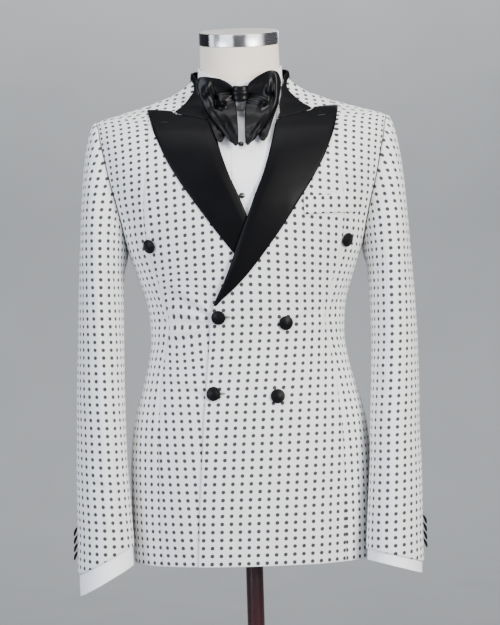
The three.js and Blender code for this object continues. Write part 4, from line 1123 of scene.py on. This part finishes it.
for side, name, lift in ((1, "left", overlap), (-1, "right", no_lift)):
    face = lapel_face(side, lift)
    rows = np.concatenate([1143 + np.array([0, 0.8, 2, 4]), np.linspace(1151, 1404, 84)])
    share = np.concatenate([[0, 0.008, 0.022, 0.045], np.linspace(0.07, 0.93, 34), [0.955, 0.978, 0.992, 1]])
    s, z = np.meshgrid(share, rows)
    inside = front_edge(z) - 0.5
    x = inside + (lapel_out(z) - inside) * s
    end_x, end_z = line(LAPEL_TOP, "x", "share")(share), line(LAPEL_TOP, "z", "share")(share)
    climb = np.concatenate([np.linspace(0, 1, 14)[1:-1], [0.96, 0.985, 1]])[:, None]
    x = np.concatenate([x, x[-1] + (end_x - x[-1]) * climb])
    z = np.concatenate([z, z[-1] + (end_z - z[-1]) * climb])
    s = np.concatenate([s, np.broadcast_to(share, climb.shape[:1] + share.shape)])
    wide = lapel_out(z) - front_edge(z)
    to_edge = np.minimum(s, 1 - s) * np.maximum(wide, 12)
    top = np.concatenate([np.full(len(rows), 99.0), (1 - climb[:, 0]) * 20])[:, None] + 0 * s
    roll = ease(s / 0.2) * (1 - ease((s - 0.1) / 0.7))
    swell = 1.5 * roll * ease((z - 1160) / 60) * (1 - ease((z - 1370) / 50))
    off = LAYER + SATIN + swell - 1.0 * (1 - ease(to_edge / 2.2)) - 0.8 * (1 - ease(top / 2.0))
    off = off + 0.25 * np.sin(z / 26 + x / 40) * ease(to_edge / 10)
    outer, inner = face(x, z, off), face(x, z, LAYER + 0 * x)
    cut = np.stack([x, cloth_height(z)], -1) / 1000
    piece = shell(f"lapel_facing_{name}", outer, inner, cut, lip=0.3)
    fit(piece, satin, "black_satin", f"lapel_{name}")
    state_sheet(piece, outer, cut, "laid", f"jacket_front_{name}")

COLLAR_FRONT = [  # mm, from the gorge up: the inner edge's x and z, the outer edge's
    (52.5, 1414, 104.5, 1429.5),
    (56.5, 1436, 88.5, 1441.5),
    (60.5, 1458, 72.5, 1458),
    (64.5, 1475, 69, 1470),
]
COLLAR_BACK = {
    "turn": [-18, 0, 30, 60, 90],
    "inner": [1488, 1493, 1498, 1499, 1499],
    "outer": [1480, 1483, 1466, 1449, 1444],
}
COLLAR_LIFT = 1.3
collar_inner, collar_outer = line(COLLAR_BACK, "inner", "turn"), line(COLLAR_BACK, "outer", "turn")


def collar_half(side, share):
    """Turns and heights of half the collar from its gorge to the middle of the back,
    with a row for each of 90 even steps and a column for each share of its width."""
    stations = []
    for in_x, in_z, out_x, out_z in COLLAR_FRONT:
        over = 0 if side > 0 else edge_lean(in_z)
        inner_turn, outer_turn = front_turn(in_x - over, in_z), front_turn(out_x - over, out_z)
        stations.append((float(inner_turn), in_z, float(outer_turn), out_z))
    for turn in np.concatenate([[-18, -8], np.linspace(0, 90, 8)]):
        at = math.radians(turn)
        stations.append((at, float(collar_inner(turn)), at, float(collar_outer(turn))))
    stations = np.array(stations)
    middle = torso((stations[:, 0] + stations[:, 2]) / 2, (stations[:, 1] + stations[:, 3]) / 2)
    way = np.concatenate([[0], np.cumsum(np.linalg.norm(np.diff(middle, axis=0), axis=1))])
    even = np.concatenate([[0, 0.5, 1.4, 3], np.linspace(5, way[-1], 86)])
    t0, z0, t1, z1 = (line({"z": way, "v": stations[:, k]}, "v")(even)[:, None] for k in range(4))
    return t0 + (t1 - t0) * share, z0 + (z1 - z0) * share, even


collar_share = np.concatenate([[0, 0.02, 0.05, 0.1], np.linspace(0.16, 0.9, 14), [0.95, 0.98, 1]])
halves = []
for side in (1, -1):
    t, z, way = collar_half(side, collar_share)
    swell = 1.0 * np.sin(np.pi * np.clip(collar_share / 0.8, 0, 1)) * ease((way[:, None] - 60) / 60)
    near = 1 - ease(np.minimum(collar_share, 1 - collar_share) * 34 / 2.0)
    off = COLLAR_LIFT + SATIN + swell - 0.9 * near - 0.7 * (1 - ease(way[:, None] / 1.5))
    cut = np.stack([way[:, None] + 0 * z, collar_share * 38 + 0 * z], -1) / 1000
    flip = np.array([side, 1, 1])
    outer, inner = on_torso(t, z, off) * flip, on_torso(t, z, COLLAR_LIFT) * flip
    halves.append((outer, inner, cut * np.array([side, 1])))
(outer, inner, cut), (outer_r, inner_r, cut_r) = halves
whole = 2 * cut[-1, 0, 0]
cut_r = cut_r + np.array([whole, 0])
outer, inner, cut = (
    np.concatenate([a, b[:-1][::-1]]) for a, b in ((outer, outer_r), (inner, inner_r), (cut, cut_r))
)
collar = shell("jacket_collar_leaf", outer, inner, cut, lip=0.3)
fit(collar, satin, "black_satin", "collar")
under_collar = ("jacket_front_left", "jacket_front_right", "jacket_back_left", "jacket_back_right")
state_sheet(collar, outer, cut, "folded", *under_collar)


# Breast welt
# A narrow strip of the dotted cloth over the mouth of the breast pocket, with its
# ends and lower edge sewn down.

WELT_FROM, WELT_LOW, WELT_WIDE, WELT_TALL, WELT_RISE = 87, 1271, 79, 26, 3
u = np.concatenate([[0, 0.8, 2], np.linspace(4, 75, 26), [77, 78.2, 79]])
v = np.concatenate([[0, 0.6, 1.6], np.linspace(3, 23, 12), [24.4, 25.4, 26]])
u, v = np.meshgrid(u, v)
x, z = WELT_FROM + u, WELT_LOW + v + WELT_RISE * u / WELT_WIDE
edge_near = np.minimum(np.minimum(u, WELT_WIDE - u), np.minimum(v, WELT_TALL - v))
off = LAYER + 1.5 - 0.9 * (1 - ease(edge_near / 1.8)) - 0.25 * np.exp(-(((edge_near - 2.6) / 0.8) ** 2))
cut_x = 1.13 * (x - front_edge(1120)) + 3.0
cut = np.stack([cut_x, cloth_height(z) - 1.5], -1) / 1000
outer, inner = on_front(x, z, overlap(x, z) + off), on_front(x, z, overlap(x, z) + LAYER)
welt = shell("pocket_welt", outer, inner, cut, lip=0.2)
fit(welt, dotted, "dotted_cloth", "breast_welt")
state_sheet(welt, outer, cut, "laid", "jacket_front_left", "jacket_side_front_left")


# Jacket sleeves
# Two-piece sleeves of the dotted cloth, set into the armholes with a little fullness
# at the head, pressed to a soft ridge in front and bent a little at the elbow.

FRONT_SEAM, BACK_SEAM = math.radians(-72), math.radians(90)
SLEEVE_CREASES = {  # (turn in degrees, share, height) twice, then the half width in mm
    "left": [
        (-96, 0.10, 1.6, -92, 0.60, 1.2, 9.0),
        (-120, 0.16, -1.1, -70, 0.125, -0.9, 5.5),
        (-60, 0.40, -1.5, -100, 0.44, -0.3, 7.0),
        (-58, 0.43, 1.2, -96, 0.47, 0.3, 7.0),
        (20, 0.36, -1.6, 70, 0.33, -0.5, 8.0),
        (20, 0.40, 1.3, 66, 0.38, 0.3, 8.0),
        (-160, 0.62, -0.9, -110, 0.76, -0.6, 9.0),
        (-40, 0.62, -1.8, -76, 0.80, -0.6, 8.0),
    ],
    "right": [
        (-97, 0.08, 2.2, -93, 0.62, 1.6, 8.0),
        (-124, 0.185, -1.4, -62, 0.13, -1.2, 5.0),
        (-124, 0.205, 1.0, -62, 0.15, 0.9, 5.5),
        (-56, 0.42, -1.4, -92, 0.45, -0.3, 7.0),
        (-58, 0.45, 1.1, -92, 0.48, 0.3, 7.0),
        (22, 0.34, -1.6, 74, 0.32, -0.5, 8.0),
        (22, 0.38, 1.3, 70, 0.36, 0.3, 8.0),
        (-150, 0.60, -0.8, -112, 0.74, -0.7, 9.0),
        (-42, 0.64, -1.8, -78, 0.80, -0.6, 8.0),
    ],
}


def sleeve_off(phi, s, rows, arm):
    """Creases on the sleeve, drawn on it rolled out flat at about its mean girth."""
    long, side = sleeve_length(arm), arm["side"]
    around, along = np.degrees(phi) * 0.98, s * long
    flat_rows = [
        (a0 * 0.98, s0 * long, h0, a1 * 0.98, s1 * long, h1, wide)
        for a0, s0, h0, a1, s1, h1, wide in rows
    ]
    turned_by = np.where(around > 180 * 0.98, around - 360 * 0.98, around)
    waves = 0.35 * np.sin(along / 37 + 2 * np.cos(phi + side)) * np.sin(2 * phi + along / 80)
    return strokes(turned_by, along, flat_rows) + waves


def head_cut(points, cut, rows):
    """The upper part's cut with its dots kept upright in the head: up by the height, and
    across by the level distance around from the outermost column at that height; each
    column keeps what the two differ by where the head begins."""
    start = np.searchsorted(rows, HEAD_SHARE)
    outermost = np.argmax(points[start, :, 0])
    levels = np.linspace(points[start, :, 2].min(), points[..., 2].max(), 80)
    columns = points.swapaxes(0, 1)
    at = [[np.interp(levels, one[:, 2], one[:, axis]) for one in columns] for axis in (0, 1)]
    around = np.cumsum(np.hypot(*np.diff(at, axis=1)), axis=0) / 1000
    around = np.concatenate([0 * around[:1], around])
    around = around - around[outermost]
    across = [np.interp(one[start:, 2], levels, far) for one, far in zip(columns, around)]
    up = np.interp(points[start:, :, 2], points[:, outermost, 2], cut[:, outermost, 1])
    upright = np.stack([np.transpose(across), up], -1)
    return np.concatenate([cut[:start], upright + cut[start] - upright[0]])


near_head = [0.978, 0.986, 0.992, 0.996, 0.9985, 1]
sleeve_rows = np.concatenate([[0, 0.0013, 0.0032, 0.0064], np.linspace(0.0125, 0.97, 132), near_head])
for name, arm in ARMS.items():
    flip, long = np.array([arm["side"], 1, 1]), sleeve_length(arm)
    joined = 0  # the under part's dots run on from the upper part's
    for part, start, stop, steps, column, in_front in (
        ("upper", BACK_SEAM, FRONT_SEAM + 2 * np.pi, 66, 60, FRONT_SEAM + 2 * np.pi),
        ("under", FRONT_SEAM, BACK_SEAM, 54, 0, FRONT_SEAM),
    ):
        near = np.radians([0.3, 0.9, 1.8, 3.2])
        between = np.linspace(start, stop, steps + 1)[2:-2]
        turns = np.concatenate([start + near, between, stop - near[::-1]])
        phi, s = np.meshgrid(turns, sleeve_rows)
        edge_near = np.minimum(phi - start, stop - phi) * 55
        open_end, head_end = s * long, (1 - s) * long
        soft = ease(edge_near / 10) * ease(head_end / 14) * ease(open_end / 10 + 0.3)
        off = sleeve_off(phi, s, SLEEVE_CREASES[name], arm) * soft
        full = ease(head_end / 5) * (1 - ease((head_end - 10) / 40))
        off = off + 1.2 * full * (1 - np.cos(phi)) / 2
        dip = np.where(np.abs(phi - in_front) < 1, 0.2, 0.8)
        off = off - dip * (1 - ease(edge_near / 3)) - 0.5 * (1 - ease(open_end / 1.6))
        outer = on_sleeve(arm, phi, s, off)
        inner = on_sleeve(arm, phi, s, np.minimum(-CLOTH + 0.2, off - 0.9))
        cut = sleeve_cut(outer, column, sleeve_rows)
        dots = cut + joined
        if part == "upper":
            joined = cut[:, -1:] * np.array([1, 0])
            dots = head_cut(outer, dots, sleeve_rows)
        piece = shell(f"{part}_sleeve_{name}", outer * flip, inner * flip, dots, lip=0.15)
        fit(piece, dotted, "dotted_cloth", f"sleeve_{part}_{name}")
        state_sheet(piece, outer, cut, "hung", f"jacket_side_front_{name}", f"jacket_back_{name}")


# Buttons and buttonholes
# Satin-covered shank buttons with a rolled rim, four small ones overlapping on each
# sleeve, and worked buttonholes of grey twist beside the fastened buttons and on
# the lapels.

covered = Finish("covered_button", Roughness=0.42, Specular_IOR_Level=0.10)
covered.set(Base_Color=covered.mix(covered.noise(260, 2), (0.002, 0.002, 0.0025), (0.006, 0.006, 0.007)))
covered.bump(covered.noise(1500, 2), 0.25, 0.0003)
BUTTON = [(0, 0), (5, 0), (9.2, 0.1), (10.1, 0.7), (10.5, 1.5), (10.35, 2.3), (9.7, 3.0)]
BUTTON += [(8.9, 3.35), (8.3, 3.3), (7.4, 3.6), (5.5, 4.4), (3, 5.1), (1.2, 5.35), (0, 5.4)]
BUTTON_GAP = 0.75
for name, x, z, lift in (
    ("fastened_upper", -40.6, 1125.3, overlap),
    ("fastened_lower", -51.2, 1014.2, overlap),
    ("outer_upper", 55, 1114.7, overlap),
    ("outer_lower", 40.6, 1008.4, overlap),
    ("top_left", 149.3, 1233.8, overlap),
    ("top_right", -139, 1232, no_lift),
):

    def jacket_face(x, z):
        return on_front(x, z, lift(x, z))

    normal = facing(jacket_face, x, z, 8)
    at = jacket_face(x, z) + BUTTON_GAP * normal
    button = round_piece(f"covered_{name}", BUTTON, at, normal, steps=64)
    fit(button, covered, "covered_button", f"button_{name}")

CUFF_SCALE, CUFF_LOW, CUFF_PITCH, CUFF_TURN, CUFF_TILT, CUFF_LIFT = 0.66, 25, 11.2, 158, 21, 2.4
small_button = [(radius * CUFF_SCALE, tall * CUFF_SCALE) for radius, tall in BUTTON]
for name, arm in ARMS.items():
    flip = np.array([arm["side"], 1, 1])
    for k in range(4):
        s, phi = (CUFF_LOW + k * CUFF_PITCH) / sleeve_length(arm), math.radians(CUFF_TURN)
        at, beyond = on_sleeve(arm, phi, s, CUFF_LIFT), on_sleeve(arm, phi, s, CUFF_LIFT + 1)
        normal = beyond - at + np.array([0, 0, math.tan(math.radians(CUFF_TILT))])
        button = round_piece(f"cuff_stack_{name}_{k + 1}", small_button, at * flip, normal * flip)
        fit(button, covered, "covered_button", f"cuff_button_{name}_{k + 1}")

twist = Finish("grey_twist", Roughness=0.6, Sheen_Weight=0.2)
twist.set(Base_Color=twist.mix(twist.noise(600, 2), (0.02, 0.02, 0.025), (0.10, 0.10, 0.11)))
twist.bump(twist.noise(1500, 2, (3, 3, 0.6)), 0.6, 0.0005)
black_twist = Finish("black_twist", Roughness=0.5, Specular_IOR_Level=0.2)
black_twist.set(
    Base_Color=black_twist.mix(black_twist.noise(600, 2), (0.008, 0.008, 0.009), (0.03, 0.03, 0.033))
)
black_twist.bump(black_twist.noise(1500, 2), 0.5, 0.0004)


def buttonhole(name, face, x, z, half, tall, tilt=0.0):
    """A worked buttonhole: an oval rib of stitches round a slit, laid on a front."""
    ring_turns = np.linspace(0, 2 * np.pi, 96, endpoint=False)
    ring, rise = np.meshgrid(ring_turns, np.linspace(0, 1, 10), indexing="ij")
    out = 0.25 + 0.75 * rise
    u, v = half * np.cos(ring) * (1 - (1 - out) * tall / half), tall * np.sin(ring) * out
    height = 0.15 + 0.75 * np.sin(np.pi * rise) ** 0.7 * (1 + 0.12 * np.sin(ring * 40))
    dx, dz = u * math.cos(tilt) - v * math.sin(tilt), u * math.sin(tilt) + v * math.cos(tilt)
    outer, inner = face(x + dx, z + dz, height), face(x + dx, z + dz, 0.1 + 0 * height)
    cut = np.stack([u, v], -1) / 1000
    outer, inner, cut = (grid.swapaxes(0, 1) for grid in (outer, inner, cut))
    return shell(name, outer, inner, cut, wrap=True, lip=0.02)


def left_face(x, z, off):
    return on_front(x, z, overlap(x, z) + off)


for name, x, z in (("upper", -36, 1125.3), ("lower", -46.6, 1014.2)):
    hole = buttonhole(f"buttonhole_{name}", left_face, x, z, 12.5, 2.0)
    hole.data.materials.append(twist.material)
    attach(hole, "root")
for side, name, lift, x, z, tilt in (
    (1, "left", overlap, 118.3, 1416.5, 0.12),
    (-1, "right", no_lift, 118.6, 1412.0, 0.0),
):
    base_face = lapel_face(side, lift)
    hole = buttonhole(
        f"buttonhole_lapel_{name}",
        lambda x, z, off: base_face(x, z, LAYER + SATIN + off),
        x,
        z,
        6.0,
        0.6,
        tilt,
    )
    hole.data.materials.append(black_twist.material)
    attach(hole, "root")


# Studio
# A pale sweep of floor and wall, broad soft lights on both sides and above, and a
# camera level with the chest, as the photograph was taken.

sweep_x, sweep_t = np.meshgrid(np.linspace(-8, 8, 3), np.linspace(0, 1, 60))
floor_part, bend_part = 0.55, 0.75
run = np.clip(sweep_t / floor_part, 0, 1)
bend = np.clip((sweep_t - floor_part) / (bend_part - floor_part), 0, 1) * np.pi / 2
rise = np.clip((sweep_t - bend_part) / (1 - bend_part), 0, 1)
sweep_y = -5.0 + 10.5 * run + 1.6 * np.sin(bend)
sweep_z = -0.0005 + 1.6 * (1 - np.cos(bend)) + 4.4 * rise
sweep_faces = quads(60, 3)
sweep_points = np.stack([sweep_x, sweep_y, sweep_z], -1).reshape(-1, 3)
sweep_mesh = bpy.data.meshes.new("studio_sweep")
sweep_mesh.from_pydata(sweep_points.tolist(), [], sweep_faces.tolist())
sweep_mesh.polygons.foreach_set("use_smooth", np.ones(len(sweep_faces), bool))
sweep = bpy.data.objects.new("studio_sweep", sweep_mesh)
bpy.context.scene.collection.objects.link(sweep)
paper = Finish("pale_paper", Roughness=0.9)
paper.set(Base_Color=paper.mix(paper.noise(3, 2), (0.22, 0.23, 0.24), (0.25, 0.26, 0.27)))
paper.bump(paper.noise(200, 2), 0.05, 0.001)
sweep.data.materials.append(paper.material)


def soft_light(name, at, target, wide, tall, power, colour):
    """A broad area light in watts, aimed at a point."""
    lamp = bpy.data.lights.new(name, "AREA")
    lamp.shape = "RECTANGLE"
    lamp.size, lamp.size_y, lamp.energy, lamp.color = wide, tall, power, colour
    holder = bpy.data.objects.new(name, lamp)
    holder.location = at
    holder.rotation_euler = (Vector(target) - Vector(at)).to_track_quat("-Z", "Y").to_euler()
    bpy.context.scene.collection.objects.link(holder)


soft_light("key", (1.9, -2.3, 2.0), (0, 0, 1.15), 1.1, 1.8, 172, (1.0, 0.975, 0.93))
soft_light("fill", (-2.2, -1.9, 1.6), (0, 0, 1.15), 1.2, 1.8, 88, (0.82, 0.87, 1.0))
soft_light("top", (0, -0.6, 3.2), (0, 0, 1.2), 1.6, 1.2, 32, (1, 1, 1))
soft_light("back", (0.8, 3.0, 2.6), (0, 0, 1.15), 1.4, 1.4, 45, (0.95, 0.97, 1.0))
soft_light("wall", (0, 4.6, 4.6), (0, 7.1, 1.6), 5.0, 1.2, 360, (1, 1, 1))
world = bpy.data.worlds.new("studio")
world.use_nodes = True
world.node_tree.nodes["Background"].inputs["Color"].default_value = (0.9, 0.93, 1.0, 1)
world.node_tree.nodes["Background"].inputs["Strength"].default_value = 0.38
bpy.context.scene.world = world

TILT = math.radians(1.7)
camera_data = bpy.data.cameras.new("camera")
camera_data.sensor_fit, camera_data.sensor_width, camera_data.sensor_height = "AUTO", 36, 36
CAMERA_AT = Vector((0.0045, -3.3, 1.131))
camera_data.lens = 36 * 3.3 / 0.9375
camera = bpy.data.objects.new("camera", camera_data)
right = Vector((math.cos(TILT), 0, -math.sin(TILT)))
upward = Vector((math.sin(TILT), 0, math.cos(TILT)))
behind = Vector((0, -1, 0))
turned_to = Matrix((right, upward, behind)).transposed().to_4x4()
camera.matrix_world = Matrix.Translation(CAMERA_AT) @ turned_to
bpy.context.scene.collection.objects.link(camera)
bpy.context.scene.camera = camera
